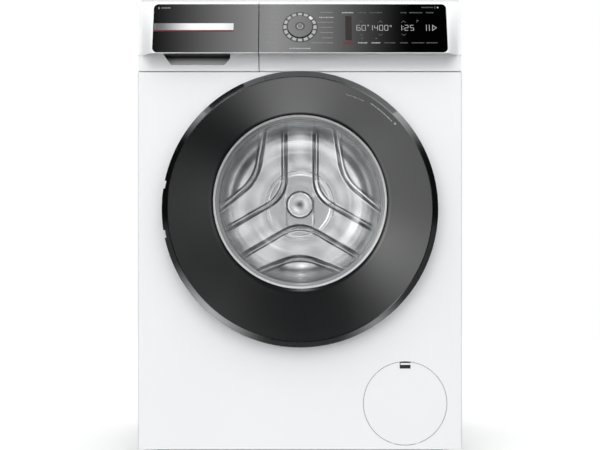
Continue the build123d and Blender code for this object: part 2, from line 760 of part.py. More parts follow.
def heater():
    """Bent tubular element with its flange and two terminals."""
    x, z = HEATER_X, HEATER_Z
    far = -60.0
    corner = HEATER_X * 0.9
    path = FilletPolyline(
        (-x, TUB_REAR, z),
        (-x, far, z),
        (x, far, z),
        (x, TUB_REAR, z),
        radius=corner,
    )
    element = sweep(Plane(origin=(-x, TUB_REAR, z), z_dir=(0, -1, 0)) * Circle(HEATER_R), path=path)
    low, high = z - 8.7, z + 8.7
    flange = block(-x - 9.7, x + 9.7, TUB_REAR - TUB_WALL + 0.2, TUB_REAR + 6, low, high)
    flange += block(-x - 14, x + 14, TUB_REAR + 0.2, TUB_REAR + 6, low - 4, high + 4)
    for side in (-1, 1):
        flange += block(side * x - 3, side * x + 3, TUB_REAR + 5, TUB_REAR + 18, z - 0.8, z + 0.8)
    save("heater", element + flange)


def counterweights():
    """Cast blocks that hold the tub steady: a ring at the front and a saddle on top."""
    ring = turned(
        [(200, -238), (204, -242), (250, -242), (256, -236), (256, TUB_FRONT - 0.4), (200, TUB_FRONT - 0.4)]
    )
    save("counterweight_front", ring)

    y0, y1 = -28.0, 132.0
    wedge = make_face(
        Polyline(
            (0, y0, DRUM_Z),
            (420 * math.cos(math.radians(95)), y0, DRUM_Z + 420 * math.sin(math.radians(95))),
            (420, y0, DRUM_Z + 420),
            (420 * math.cos(math.radians(40)), y0, DRUM_Z + 420 * math.sin(math.radians(40))),
            close=True,
        )
    )
    saddle = ring_y(318, TUB_R + 0.4, y0, y1) & extrude(wedge, amount=y1 - y0, dir=(0, 1, 0))
    save("counterweight_top", chamfer(saddle.edges().filter_by(Axis.Y), 5))


def suspension():
    """Four dampers between the base and the tub, and two springs from the sides."""
    cylinders = []
    rods = []
    for x, y in DAMPER_PLACES:
        barrel = rod_z(14, FOOT_HEIGHT + 20.2, 170, x, y) - rod_z(11.5, 60, 171, x, y)
        barrel += ring_z(11.6, 6.3, 160, 170, x, y)
        cylinders.append(barrel)
        piston = rod_z(6, 100, 261.8, x, y) + rod_z(11.2, 88, 101, x, y)
        rods.append(piston + rod_z(10, 252, 261.8, x, y))
    save("damper_cylinders", group(cylinders))
    save("damper_rods", group(rods))

    springs = [ring_z(12, 8.5, 604.3, 805.7, x, y) for x, y in SPRING_PLACES]
    save("suspension_springs", group(springs))


def motor():
    """Motor under the tub, with its shaft, and the small pulley that drives the belt."""
    x, z = MOTOR_X, MOTOR_Z
    body = rod_y(58, 80, 200, x, z)
    body = fillet(body.edges(), 6)
    body += rod_y(40, 66, 82, x, z)
    body += block(x - 34, x + 34, 88, 104, z + 30, z + 62.3) + block(x - 34, x + 34, 168, 184, z + 30, z + 62.3)
    body += rod_y(18, 198, 214, x, z)
    body -= rod_y(5.05, 60, 220, x, z)
    save("motor", body)

    y0, y1 = PULLEY_Y
    pulley = rod_y(5, 70, y1 + 6, x, z) + ring_y(MOTOR_PULLEY_R, 4.9, y0 - 2, y1 + 2, x, z)
    save("motor_pulley", pulley)


def belt():
    """Flat multi-rib belt round both pulleys."""
    y0, y1 = PULLEY_Y
    thick = 2.6
    gap = 0.3

    def loop(grow):
        big, small = PULLEY_R + grow, MOTOR_PULLEY_R + grow
        reach = DRUM_Z - MOTOR_Z
        lean = math.asin((big - small) / reach)
        points = []
        for r, z in ((big, DRUM_Z), (small, MOTOR_Z)):
            points.append((r * math.cos(lean), y0 + 2, z - r * math.sin(lean)))
        right_big, right_small = points
        left_big = (-right_big[0], right_big[1], right_big[2])
        left_small = (-right_small[0], right_small[1], right_small[2])
        outline = Curve() + [
            ThreePointArc(right_big, (0, y0 + 2, DRUM_Z + big), left_big),
            Line(left_big, left_small),
            ThreePointArc(left_small, (0, y0 + 2, MOTOR_Z - small), right_small),
            Line(right_small, right_big),
        ]
        return extrude(make_face(Wire(outline)), amount=y1 - y0 - 4, dir=(0, 1, 0))

    save("drive_belt", loop(gap + thick) - loop(gap))


# ---------------------------------------------------------------- drum
def pad_outline(grow, y):
    """One of the three raised fields of the drum's back, between two channels, pointing at the hub."""
    tip = 104 - grow * 1.2
    reach = 226 + grow
    spread = math.radians(70)
    arm = 128 + grow
    points = [
        (0, -tip),
        (arm * math.sin(spread), -tip - arm * math.cos(spread)),
        (arm * 1.28, -reach * 0.72),
        (0, -reach * 0.98),
        (-arm * 1.28, -reach * 0.72),
        (-arm * math.sin(spread), -tip - arm * math.cos(spread)),
    ]
    face = make_face(Polyline(*[(x, y, DRUM_Z + z) for x, z in points], close=True))
    return fillet(face.vertices(), 12)


def drum():
    """Shell with its mouth, pressed back, hub cap, lifters, spider with shaft, belt pulley and bearings."""
    shell = turned(
        [
            (DRUM_MOUTH_R, DRUM_FRONT),
            (DRUM_R, DRUM_FRONT),
            (DRUM_R, DRUM_REAR),
            (DRUM_R - 1, DRUM_REAR),
            (DRUM_R - 1, DRUM_FRONT + 1),
            (DRUM_MOUTH_R + 1, DRUM_FRONT + 1),
            (DRUM_MOUTH_R + 1, DRUM_FRONT + 9),
            (DRUM_MOUTH_R, DRUM_FRONT + 9),
        ]
    )
    save("drum_shell", shell)

    back = rod_y(DRUM_R, DRUM_REAR, DRUM_REAR + 1.2)
    for turn in (0, 120, 240):
        raised = extrude(pad_outline(0, DRUM_REAR - 10), amount=10.2, dir=(0, 1, 0))
        hollow = extrude(pad_outline(-1.5, DRUM_REAR - 8.8), amount=12, dir=(0, 1, 0))
        spin = Pos(0, 0, DRUM_Z) * Rot(0, turn, 0) * Pos(0, 0, -DRUM_Z)
        back += spin * raised
        back -= spin * hollow
    save("drum_rear_wall", back)

    save("hub_cap", turned([(0, 146), (24, 147.5), (30, 152), (30, DRUM_REAR - 0.1), (0, DRUM_REAR - 0.1)]))

    lifters = []
    for degrees in (30, 150, 270):
        inner = DRUM_R - 1.2
        section = make_face(
            Polyline((-34, 0, 8), (34, 0, 8), (20, 0, 34), (7, 0, 54), (-7, 0, 54), (-20, 0, 34), close=True)
        )
        section = fillet(section.vertices(), 3)
        paddle = Pos(0, DRUM_FRONT + 40, 0) * extrude(section, amount=270, dir=(0, 1, 0))
        placed = Pos(0, 0, DRUM_Z) * Rot(0, 90 - degrees, 0) * Rot(0, 180, 0) * Pos(0, 0, -inner) * paddle
        lifters.append(placed & rod_y(inner, -300, 300))
    save("drum_lifters", group(lifters))

    hub = rod_y(44, DRUM_REAR + 1.4, DRUM_REAR + 22)
    for degrees in (90, 210, 330):
        arm = block(-19, 19, DRUM_REAR + 1.4, DRUM_REAR + 16, DRUM_Z, DRUM_Z + 236)
        hub += Pos(0, 0, DRUM_Z) * Rot(0, 90 - degrees, 0) * Pos(0, 0, -DRUM_Z) * arm
    hub &= rod_y(236, DRUM_REAR, DRUM_REAR + 60)
    shaft = rod_y(15, DRUM_REAR + 20, PULLEY_Y[1] + 6)
    save("drum_spider", hub + shaft)

    y0, y1 = PULLEY_Y
    wheel = ring_y(PULLEY_R, PULLEY_R - 7, y0, y1)
    wheel += ring_y(28, 15.02, y0 - 2, y1 + 2)
    for i in range(5):
        spoke = block(-11, 11, y0 + 5, y1 - 5, DRUM_Z + 24, DRUM_Z + PULLEY_R - 5)
        wheel += Pos(0, 0, DRUM_Z) * Rot(0, 72 * i, 0) * Pos(0, 0, -DRUM_Z) * spoke
    save("drum_pulley", wheel)

    near = ring_y(HUB_BORE_R - 0.05, 15.05, TUB_REAR - 2, TUB_REAR + 14)
    far = ring_y(HUB_BORE_R - 0.05, 15.05, TUB_REAR + 20, TUB_REAR + 35)
    save("shaft_bearings", group([near, far]))


# ---------------------------------------------------------------- small pieces
def service_flap():
    """Round flap over the pump filter, hinged at the bottom, with a notch at the top to open it."""
    x, z = FLAP_CENTRE
    flap = front_disc(FLAP_R, FRONT, FRONT + 2.2, FLAP_CENTRE)
    top = z + FLAP_R
    flap -= block(x - 10, x + 10, FRONT - 1, FRONT + 5, top - 12.5, top + 2)
    tongue = block(x - 8.5, x + 6, FRONT + 0.6, FRONT + 2.2, top - 5.5, top - 2.2)
    flap += tongue + block(x + 5, x + 10.5, FRONT + 1.0, FRONT + 2.2, top - 5.5, top - 2.2)
    for side in (-1, 1):
        flap += rod_x(1.0, x + side * 17, x + side * 31.5, *FLAP_AXIS)
    save("service_flap", flap)


def mains_inlet():
    """Cable gland in the rear panel with a bore for the mains lead."""
    x, z = MAINS_PLACE
    gland = rod_y(13, REAR + SHEET, REAR + SHEET + 4, x, z) + rod_y(9.2, REAR - 22, REAR + SHEET + 4, x, z)
    gland += rod_y(13, REAR - 8, REAR - 0.2, x, z)
    gland -= rod_y(4, REAR - 30, REAR + 20, x, z)
    save("mains_inlet", gland)


def cabinet_screws():
    """Hexagon head screws that hold the rear panel, the rear cover and the worktop."""
    places = [(sx * 290, z) for sx in (-1, 1) for z in (60, 300, 540, 790)]
    places += [angle_point(163, a) for a in (45, 135, 225, 315)]
    screws = []
    for x, z in places:
        on_cover = math.hypot(x, z - DRUM_Z) < 200
        seat = REAR + (2 if on_cover else 1) * SHEET
        head = Pos(x, seat, z) * Rot(-90, 0, 0) * extrude(RegularPolygon(4.5, 6), amount=3.5)
        screws.append(head)
    save("cabinet_screws", group(screws))


for make in (
    base_pan,
    feet,
    side_panels,
    rear_panel,
    rear_cover,
    front_panel,
    filter_tray,
    front_crossbar,
    worktop,
    fascia_and_controls,
    drawer,
    dispenser_housing,
    inlet_valve_and_hose,
    flexible_hoses,
    drain_pump_and_filter,
    door_ring,
    door_bezel,
    door_frame,
    door_glass,
    hinge,
    latch,
    door_gasket,
    tub,
    heater,
    counterweights,
    suspension,
    motor,
    belt,
    drum,
    service_flap,
    mains_inlet,
    cabinet_screws,
):
    make()
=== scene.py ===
import json
import math

import bmesh
import bpy
import numpy
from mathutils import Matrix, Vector


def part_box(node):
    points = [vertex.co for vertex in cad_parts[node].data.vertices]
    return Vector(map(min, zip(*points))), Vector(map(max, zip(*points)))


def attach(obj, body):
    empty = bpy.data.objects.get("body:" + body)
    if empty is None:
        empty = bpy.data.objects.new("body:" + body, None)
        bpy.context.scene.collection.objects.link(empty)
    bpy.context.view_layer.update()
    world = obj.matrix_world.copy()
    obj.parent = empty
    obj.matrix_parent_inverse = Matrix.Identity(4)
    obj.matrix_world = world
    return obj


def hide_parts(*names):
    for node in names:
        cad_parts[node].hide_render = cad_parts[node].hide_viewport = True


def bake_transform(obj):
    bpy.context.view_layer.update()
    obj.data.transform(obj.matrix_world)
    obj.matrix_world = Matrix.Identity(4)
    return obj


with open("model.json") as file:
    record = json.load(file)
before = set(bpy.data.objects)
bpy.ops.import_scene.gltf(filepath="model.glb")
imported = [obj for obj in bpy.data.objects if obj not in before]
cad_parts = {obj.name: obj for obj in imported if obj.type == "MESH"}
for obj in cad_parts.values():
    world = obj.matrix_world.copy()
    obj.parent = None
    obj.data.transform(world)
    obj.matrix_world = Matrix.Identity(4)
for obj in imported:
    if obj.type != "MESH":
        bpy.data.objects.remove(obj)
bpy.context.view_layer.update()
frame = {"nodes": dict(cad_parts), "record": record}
nodes = frame["nodes"]
print("frame loaded with", len(nodes), "nodes")


# where things are, from the nodes' own boxes, in metres
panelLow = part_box("front_panel")[0]
bezelLow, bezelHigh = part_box("door_bezel")
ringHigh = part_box("door_ring")[1]
shellLow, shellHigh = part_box("drum_shell")
glassLow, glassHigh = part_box("door_glass")
wallLow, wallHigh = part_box("drum_rear_wall")
hubLow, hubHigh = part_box("hub_cap")
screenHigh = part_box("display_screen")[1]

frontY = panelLow[1]
drumZ = (shellLow[2] + shellHigh[2]) / 2
drumRadius = (shellHigh[0] - shellLow[0]) / 2
doorZ = (bezelLow[2] + bezelHigh[2]) / 2


# shader maths
class Wire:
    # an output socket that takes part in Python sums
    def __init__(self, tree, socket=None):
        self.tree = tree
        self.socket = socket

    def node(self, kind, settings=None, inputs=None, out=0):
        made = self.tree.nodes.new(kind)
        for key, value in (settings or {}).items():
            if key == "stops":
                ramp = made.color_ramp
                while len(ramp.elements) < len(value):
                    ramp.elements.new(0.5)
                for element, (place, color) in zip(ramp.elements, value):
                    element.position = place
                    element.color = color
            else:
                setattr(made, key, value)
        for key, value in (inputs or {}).items():
            if isinstance(value, Wire):
                self.tree.links.new(value.socket, made.inputs[key])
            else:
                made.inputs[key].default_value = value
        return Wire(self.tree, made.outputs[out])

    def math(self, operation, *values):
        return self.node("ShaderNodeMath", {"operation": operation}, dict(enumerate(values)))

    def __add__(self, other):
        return self.math("ADD", self, other)

    def __radd__(self, other):
        return self.math("ADD", other, self)

    def __sub__(self, other):
        return self.math("SUBTRACT", self, other)

    def __rsub__(self, other):
        return self.math("SUBTRACT", other, self)

    def __mul__(self, other):
        return self.math("MULTIPLY", self, other)

    def __rmul__(self, other):
        return self.math("MULTIPLY", other, self)

    def __truediv__(self, other):
        return self.math("DIVIDE", self, other)

    def __pow__(self, other):
        return self.math("POWER", self, other)

    def vector(self, operation, other, out=0):
        return self.node("ShaderNodeVectorMath", {"operation": operation}, {0: self, 1: other}, out)

    def smooth(self, low, high):
        settings = {"interpolation_type": "SMOOTHSTEP"}
        return self.node("ShaderNodeMapRange", settings, {"Value": self, "From Min": low, "From Max": high})

    def blend(self, colorA, colorB):
        # this wire is the factor
        return self.node("ShaderNodeMix", {"data_type": "RGBA"}, {0: self, 6: colorA, 7: colorB}, 2)

    def noise(self, scale, detail=2.0, roughness=0.5):
        inputs = {"Vector": self, "Scale": scale, "Detail": detail, "Roughness": roughness}
        return self.node("ShaderNodeTexNoise", None, inputs, 0)

    def cells(self, scale, feature="F1", out="Distance"):
        inputs = {"Vector": self, "Scale": scale}
        return self.node("ShaderNodeTexVoronoi", {"feature": feature}, inputs, out)

    def parts(self):
        # x, y and z of a vector wire
        made = self.tree.nodes.new("ShaderNodeSeparateXYZ")
        self.tree.links.new(self.socket, made.inputs[0])
        return [Wire(self.tree, output) for output in made.outputs]

    def joined(self, x, y, z):
        return self.node("ShaderNodeCombineXYZ", None, {0: x, 1: y, 2: z})

    def bump(self, strength, distance):
        inputs = {"Strength": strength, "Distance": distance, "Height": self}
        return self.node("ShaderNodeBump", None, inputs)


def screenColor(red, green=None, blue=None):
    # display levels from 0 to 255 as a linear colour
    levels = (red, red if green is None else green, red if blue is None else blue)
    return tuple((level / 255) ** 2.2 for level in levels) + (1.0,)


def makeMaterial(name, values, build=None):
    # values go straight to the shader's sockets, and build adds what varies over the surface
    material = bpy.data.materials.new(name)
    material.use_nodes = True
    tree = material.node_tree
    shader = tree.nodes["Principled BSDF"]
    for key, value in values.items():
        shader.inputs[key].default_value = value
    if build:
        place = Wire(tree).node("ShaderNodeTexCoord", out="Object")
        for key, wire in build(place).items():
            tree.links.new(wire.socket, shader.inputs[key])
    return material


# materials
finish = {
    "enamelWhite": screenColor(238, 239, 240),
    "plasticWhite": screenColor(238, 239, 240),
    "doorDark": screenColor(26, 27, 28),
    "peelScale": 420.0,  # orange peel cells per metre
    "steelGrey": (0.66, 0.67, 0.68, 1.0),
}


def enamel(place):
    peel = place.noise(finish["peelScale"], 1.5)
    cloud = place.noise(6.0, 2.0)
    white = cloud.blend(finish["enamelWhite"], screenColor(233, 235, 237))
    return {"Base Color": white, "Roughness": 0.3 + 0.06 * cloud, "Normal": peel.bump(0.06, 0.0004)}


def laminate(place):
    pebble = place.cells(900.0)
    cloud = place.noise(14.0, 3.0)
    white = cloud.blend(screenColor(196, 196, 196), screenColor(188, 189, 190))
    return {"Base Color": white, "Roughness": 0.42 + 0.12 * cloud, "Normal": pebble.bump(0.18, 0.0002)}


def whitePlastic(place):
    grain = place.noise(1600.0, 2.0)
    cloud = place.noise(9.0, 2.0)
    white = cloud.blend(finish["plasticWhite"], screenColor(234, 235, 236))
    return {"Base Color": white, "Roughness": 0.34 + 0.08 * cloud, "Normal": grain.bump(0.05, 0.0001)}


def blackGloss(place):
    smear = place.noise(22.0, 4.0, 0.6)
    dust = place.cells(260.0).smooth(0.08, 0.0)
    tint = smear.blend(screenColor(5, 5, 6), screenColor(8, 8, 9))
    return {"Base Color": tint, "Roughness": 0.02 + 0.025 * smear + 0.05 * dust}


def doorGloss(place):
    smear = place.noise(16.0, 3.0, 0.55)
    tint = smear.blend(finish["doorDark"], screenColor(31, 32, 33))
    return {"Base Color": tint, "Roughness": 0.13 + 0.05 * smear}


def lightPlastic(place):
    grain = place.noise(900.0, 2.0)
    tint = grain.blend(screenColor(44), screenColor(54))
    return {"Base Color": tint, "Roughness": 0.25 + 0.1 * grain}


def greyPlastic(place):
    grain = place.noise(1300.0, 2.0)
    cloud = place.noise(12.0, 3.0)
    tint = cloud.blend(screenColor(134, 137, 140), screenColor(146, 148, 150))
    return {"Base Color": tint, "Roughness": 0.42 + 0.12 * cloud, "Normal": grain.bump(0.14, 0.0002)}


def speckledPlastic(place):
    speck = place.cells(420.0).smooth(0.22, 0.1)
    cloud = place.noise(7.0, 3.0)
    ground = cloud.blend(screenColor(176, 177, 176), screenColor(190, 190, 188))
    tint = speck.blend(ground, screenColor(120, 122, 122))
    pits = place.noise(900.0).bump(0.2, 0.0003)
    return {"Base Color": tint, "Roughness": 0.5 + 0.1 * cloud, "Normal": pits}


def darkPlastic(place):
    grain = place.noise(1500.0, 2.0)
    cloud = place.noise(15.0, 3.0)
    tint = cloud.blend(screenColor(24, 24, 25), screenColor(36, 36, 37))
    return {"Base Color": tint, "Roughness": 0.4 + 0.16 * cloud, "Normal": grain.bump(0.25, 0.0002)}


def greyRubber(place):
    bloom = place.noise(26.0, 5.0, 0.6)
    tint = bloom.blend(screenColor(150, 152, 154), screenColor(168, 170, 171))
    pits = place.noise(800.0).bump(0.2, 0.0003)
    return {"Base Color": tint, "Roughness": 0.55 + 0.2 * bloom, "Normal": pits}


def blackRubber(place):
    bloom = place.noise(30.0, 5.0, 0.6)
    tint = bloom.blend(screenColor(22, 22, 23), screenColor(44, 44, 44))
    pits = place.noise(700.0).bump(0.3, 0.0003)
    return {"Base Color": tint, "Roughness": 0.6 + 0.2 * bloom, "Normal": pits}


def roundAbout(place, centreZ):
    # radius and angle about an axis along Y
    x, y, z = place.parts()
    up = z - centreZ
    radius = (x * x + up * up) ** 0.5
    return radius, up.math("ARCTAN2", up, x), y


def drumSteel(place):
    radius, angle, depth = roundAbout(place, drumZ)
    lines = place.joined(radius * 1400.0, angle * 5.0, depth * 500.0).noise(1.0, 3.0, 0.6)
    cloud = place.noise(11.0, 3.0)
    tint = cloud.blend(finish["steelGrey"], (0.74, 0.75, 0.76, 1.0))
    rough = 0.11 + 0.11 * lines + 0.04 * cloud
    return {"Base Color": tint, "Roughness": rough, "Normal": lines.bump(0.05, 0.0002)}


def chrome(place):
    smear = place.noise(30.0, 4.0, 0.6)
    tint = smear.blend((0.42, 0.43, 0.44, 1.0), (0.48, 0.49, 0.50, 1.0))
    return {"Base Color": tint, "Roughness": 0.08 + 0.08 * smear}


def spangle(place):
    patch = place.cells(120.0, out="Color")
    level = patch.parts()[0]
    fine = place.noise(500.0, 3.0)
    tint = level.blend((0.56, 0.58, 0.60, 1.0), (0.66, 0.68, 0.70, 1.0))
    rough = 0.36 + 0.1 * level + 0.08 * fine
    return {"Base Color": tint, "Roughness": rough, "Normal": fine.bump(0.08, 0.0002)}


def castAluminium(place):
    sand = place.noise(650.0, 4.0, 0.65)
    cloud = place.noise(13.0, 3.0)
    tint = cloud.blend((0.58, 0.59, 0.60, 1.0), (0.68, 0.69, 0.70, 1.0))
    return {"Base Color": tint, "Roughness": 0.38 + 0.2 * sand, "Normal": sand.bump(0.4, 0.0005)}


def zincSteel(place):
    tarnish = place.noise(60.0, 4.0, 0.6)
    tint = tarnish.blend((0.60, 0.61, 0.62, 1.0), (0.72, 0.70, 0.62, 1.0))
    return {"Base Color": tint, "Roughness": 0.25 + 0.2 * tarnish, "Normal": tarnish.bump(0.1, 0.0002)}


def motorMetal(place):
    depth = place.parts()[1]
    stack = (depth * 9000.0).math("SINE", depth * 9000.0)
    sand = place.noise(500.0, 3.0)
    tint = sand.blend((0.30, 0.31, 0.32, 1.0), (0.44, 0.45, 0.46, 1.0))
    return {"Base Color": tint, "Roughness": 0.42 + 0.16 * sand, "Normal": (stack + sand).bump(0.3, 0.0003)}


def concrete(place):
    stones = place.cells(130.0)
    pores = place.cells(300.0).smooth(0.16, 0.05)
    cloud = place.noise(20.0, 6.0, 0.65)
    ground = cloud.blend(screenColor(128, 126, 122), screenColor(160, 158, 153))
    tint = pores.blend(ground, screenColor(88, 86, 84))
    height = stones - 2.0 * pores
    return {"Base Color": tint, "Roughness": 0.82 + 0.1 * cloud, "Normal": height.bump(0.35, 0.0012)}


def circuitBoard(place):
    sizes = {"Vector": place, "Scale": 60.0, "Mortar Size": 0.012}
    lanes = place.node("ShaderNodeTexBrick", None, sizes, "Fac")
    vias = place.cells(240.0).smooth(0.14, 0.1)
    green = lanes.blend(screenColor(20, 70, 44), screenColor(36, 104, 66))
    tint = vias.blend(green, screenColor(176, 160, 110))
    return {"Base Color": tint, "Roughness": 0.3 + 0.15 * lanes, "Normal": lanes.bump(0.2, 0.0002)}


def sparkle(place):
    grain = place.noise(1200.0, 2.0)
    tint = grain.blend(screenColor(150), screenColor(170))
    return {"Base Color": tint, "Roughness": 0.35 + 0.1 * grain}


slotMaterials = {
    "white_enamel": makeMaterial("whiteEnamel", {"Coat Weight": 0.2, "Coat Roughness": 0.12}, enamel),
    "galvanised_steel": makeMaterial("galvanisedSheet", {"Metallic": 0.9}, spangle),
    "white_laminate": makeMaterial("whiteLaminate", {}, laminate),
    "white_plastic": makeMaterial("whitePlastic", {}, whitePlastic),
    "black_gloss": makeMaterial("blackGlass", {"IOR": 1.5}, blackGloss),
    "light_ring_plastic": makeMaterial("lightRingPlastic", {}, lightPlastic),
    "circuit_board": makeMaterial("circuitBoard", {}, circuitBoard),
    "grey_plastic": makeMaterial("greyPlastic", {}, greyPlastic),
    "tub_plastic": makeMaterial("speckledTubPlastic", {}, speckledPlastic),
    "dark_plastic": makeMaterial("darkPlastic", {}, darkPlastic),
    "grey_rubber": makeMaterial("greyRubber", {}, greyRubber),
    "black_rubber": makeMaterial("blackRubber", {}, blackRubber),
    "door_gloss_dark": makeMaterial("darkDoorGloss", {"IOR": 1.52}, doorGloss),
    "chrome_trim": makeMaterial("darkChrome", {"Metallic": 1.0}, chrome),
    "stainless": makeMaterial("drumSteel", {"Metallic": 1.0}, drumSteel),
    "cast_aluminium": makeMaterial("castAluminium", {"Metallic": 0.9}, castAluminium),
    "concrete": makeMaterial("concrete", {}, concrete),
    "zinc_steel": makeMaterial("zincSteel", {"Metallic": 1.0}, zincSteel),
    "motor_metal": makeMaterial("motorStack", {"Metallic": 0.8}, motorMetal),
}


def clearGlass(place):
    # mostly see-through, and reflecting more where it is seen at a slant
    slant = place.node("ShaderNodeFresnel", None, {"IOR": 1.45})
    smear = place.noise(40.0, 3.0)
    return {"Alpha": 0.035 + 0.22 * slant, "Roughness": 0.02 + 0.02 * smear}


slotMaterials["clear_glass"] = makeMaterial(
    "clearGlass", {"Metallic": 1.0, "Base Color": (0.90, 0.93, 0.92, 1.0)}, clearGlass
)
printGrey = makeMaterial("printedMarks", {}, sparkle)
print("materials made")

for row in frame["record"]["subparts"]:
    for place in nodes[row["node"]].material_slots:
        place.material = slotMaterials[row["material_slot"]]


# mesh helpers: a material of None is the slot's own, and a body of None leaves the piece attached to no
# body
def addPiece(name, points, faces, material, body, slot, sharp=35.0):
    mesh = bpy.data.meshes.new(name)
    mesh.from_pydata([tuple(point) for point in points], [], faces)
    return finishPiece(name, mesh, material, body, slot, sharp)


def finishPiece(name, mesh, material, body, slot, sharp=35.0):
    form = bmesh.new()
    form.from_mesh(mesh)
    bmesh.ops.remove_doubles(form, verts=form.verts, dist=0.000002)
    bmesh.ops.recalc_face_normals(form, faces=form.faces)
    form.to_mesh(mesh)
    form.free()
    mesh.shade_smooth()
    mesh.set_sharp_from_angle(angle=math.radians(sharp))
    mesh.materials.clear()
    mesh.materials.append(material or slotMaterials[slot])
    piece = bpy.data.objects.new(name, mesh)
    bpy.context.scene.collection.objects.link(piece)
    if body:
        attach(piece, body)
    return piece


def turnedPoints(profile, steps, centreZ, centreX=0.0):
    # closed outline of (radius, y) turned about an axis along Y
    points, faces = [], []
    count = len(profile)
    for k in range(steps):
        angle = 2 * math.pi * k / steps
        for radius, y in profile:
            points.append((centreX + radius * math.cos(angle), y, centreZ + radius * math.sin(angle)))
        for i in range(count):
            j = (i + 1) % count
            far = (k + 1) % steps * count
            faces.append((k * count + i, k * count + j, far + j, far + i))
    return points, faces


def turned(name, profile, steps, centreZ, material, body, slot, sharp=35.0, centreX=0.0):
    points, faces = turnedPoints(profile, steps, centreZ, centreX)
    return addPiece(name, points, faces, material, body, slot, sharp)


# camera, light and floor
studio = {
    "distance": 2.9,  # from the front panel
    "height": 0.4333,
    "lens": 94.4,
    "skyAbove": 1.26,
    "skyBelow": 0.10,
    "sideFall": 0.45,
    "frontBoost": 0.95,
    "floorReach": 3.0,
}


def makeCamera():
    data = bpy.data.cameras.new("camera")
    data.lens = studio["lens"]
    data.sensor_width = 36.0
    data.clip_end = 50.0
    camera = bpy.data.objects.new("camera", data)
    camera.location = (0.0, frontY - studio["distance"], studio["height"])
    camera.rotation_euler = (math.radians(90), 0.0, 0.0)
    bpy.context.scene.collection.objects.link(camera)
    bpy.context.scene.camera = camera


# soft panels as the glossy pieces see them: direction, half width, half height, soft edge, strength
softPanels = {
    "overheadStrip": ((-0.02, -0.66, 0.75), 0.03, 0.35, 0.058, 7.6),
    "frontFill": ((0.0, -1.0, 0.0), 0.2, 0.2, 0.14, 0.46),
    "frontPatchHigh": ((0.10, -1.0, 0.15), 0.06, 0.04, 0.06, 4.0),
    "frontPatchSide": ((-0.15, -1.0, -0.03), 0.02, 0.12, 0.05, 2.6),
    "frontPatchLow": ((0.04, -1.0, -0.15), 0.09, 0.02, 0.05, 2.6),
    "leftBank": ((-0.42, -0.9, -0.02), 0.16, 0.26, 0.12, 3.0),
    "upperLeftBank": ((-0.33, -0.92, 0.20), 0.13, 0.09, 0.10, 4.6),
    "lowerLeftBank": ((-0.25, -0.9, -0.30), 0.12, 0.09, 0.12, 2.4),
    "floorBounce": ((0.02, -0.9, -0.42), 0.16, 0.13, 0.13, 4.4),
    "rightWall": ((0.42, -0.9, 0.06), 0.14, 0.18, 0.12, 1.25),
    "upperRightBank": ((0.26, -0.9, 0.30), 0.07, 0.07, 0.10, 0.8),
    "edgeUpperRight": ((0.62, 0.0, 0.78), 0.5, 0.26, 0.24, 0.8),
    "edgeUpperLeft": ((-0.70, 0.0, 0.72), 0.5, 0.09, 0.2, 0.7),
    "edgeLowerLeft": ((-0.66, 0.0, -0.75), 0.5, 0.24, 0.28, 0.8),
    "edgeLowerRight": ((0.56, 0.0, -0.83), 0.5, 0.1, 0.22, 0.55),
    "edgeBottom": ((0.0, 0.0, -1.0), 0.5, 0.1, 0.2, 0.06),
    "rearFill": ((0.0, 1.0, 0.15), 0.9, 0.7, 0.5, 0.9),
    "rearHigh": ((0.2, 0.75, 0.66), 0.25, 0.2, 0.2, 1.6),
}


def panelLight(ray, toward, halfWidth, halfHeight, soft, strength):
    ahead = Vector(toward).normalized()
    side = ahead.cross(Vector((0, 0, 1))).normalized()
    above = side.cross(ahead)
    depth = ray.vector("DOT_PRODUCT", tuple(ahead), "Value")
    safe = depth.math("MAXIMUM", depth, 0.05)
    across = ray.vector("DOT_PRODUCT", tuple(side), "Value") / safe
    upward = ray.vector("DOT_PRODUCT", tuple(above), "Value") / safe
    maskWide = across.math("ABSOLUTE", across).smooth(halfWidth + soft, halfWidth - soft)
    maskHigh = upward.math("ABSOLUTE", upward).smooth(halfHeight + soft, halfHeight - soft)
    return maskWide * maskHigh * depth.smooth(0.05, 0.15) * strength


def makeWorld():
    world = bpy.data.worlds.new("studio")
    bpy.context.scene.world = world
    world.use_nodes = True
    tree = world.node_tree
    tree.nodes.clear()
    wire = Wire(tree)
    ray = wire.node("ShaderNodeTexCoord", out="Generated")
    height = ray.parts()[2]
    sideways, ahead = ray.parts()[:2]
    glossy = ahead.smooth(0.1, 0.6) * 0.12 + 0.008
    for panel in softPanels.values():
        glossy = glossy + panelLight(ray, *panel)
    slope = height.smooth(-0.6, 0.12)
    dome = studio["skyBelow"] + (studio["skyAbove"] - studio["skyBelow"]) * slope
    dome = dome * (1.0 - studio["sideFall"] * sideways * sideways)
    dome = dome + ahead.smooth(-0.5, -1.0) * studio["frontBoost"] * height.smooth(-0.45, 0.0)
    camera = wire.node("ShaderNodeLightPath", out="Is Camera Ray")
    diffuse = wire.node("ShaderNodeLightPath", out="Is Diffuse Ray")
    level = diffuse * dome + (1.0 - diffuse) * glossy
    level = camera + (1.0 - camera) * level
    light = wire.node("ShaderNodeBackground", None, {"Color": (1.0, 1.0, 1.0, 1.0), "Strength": level})
    output = tree.nodes.new("ShaderNodeOutputWorld")
    tree.links.new(light.socket, output.inputs["Surface"])


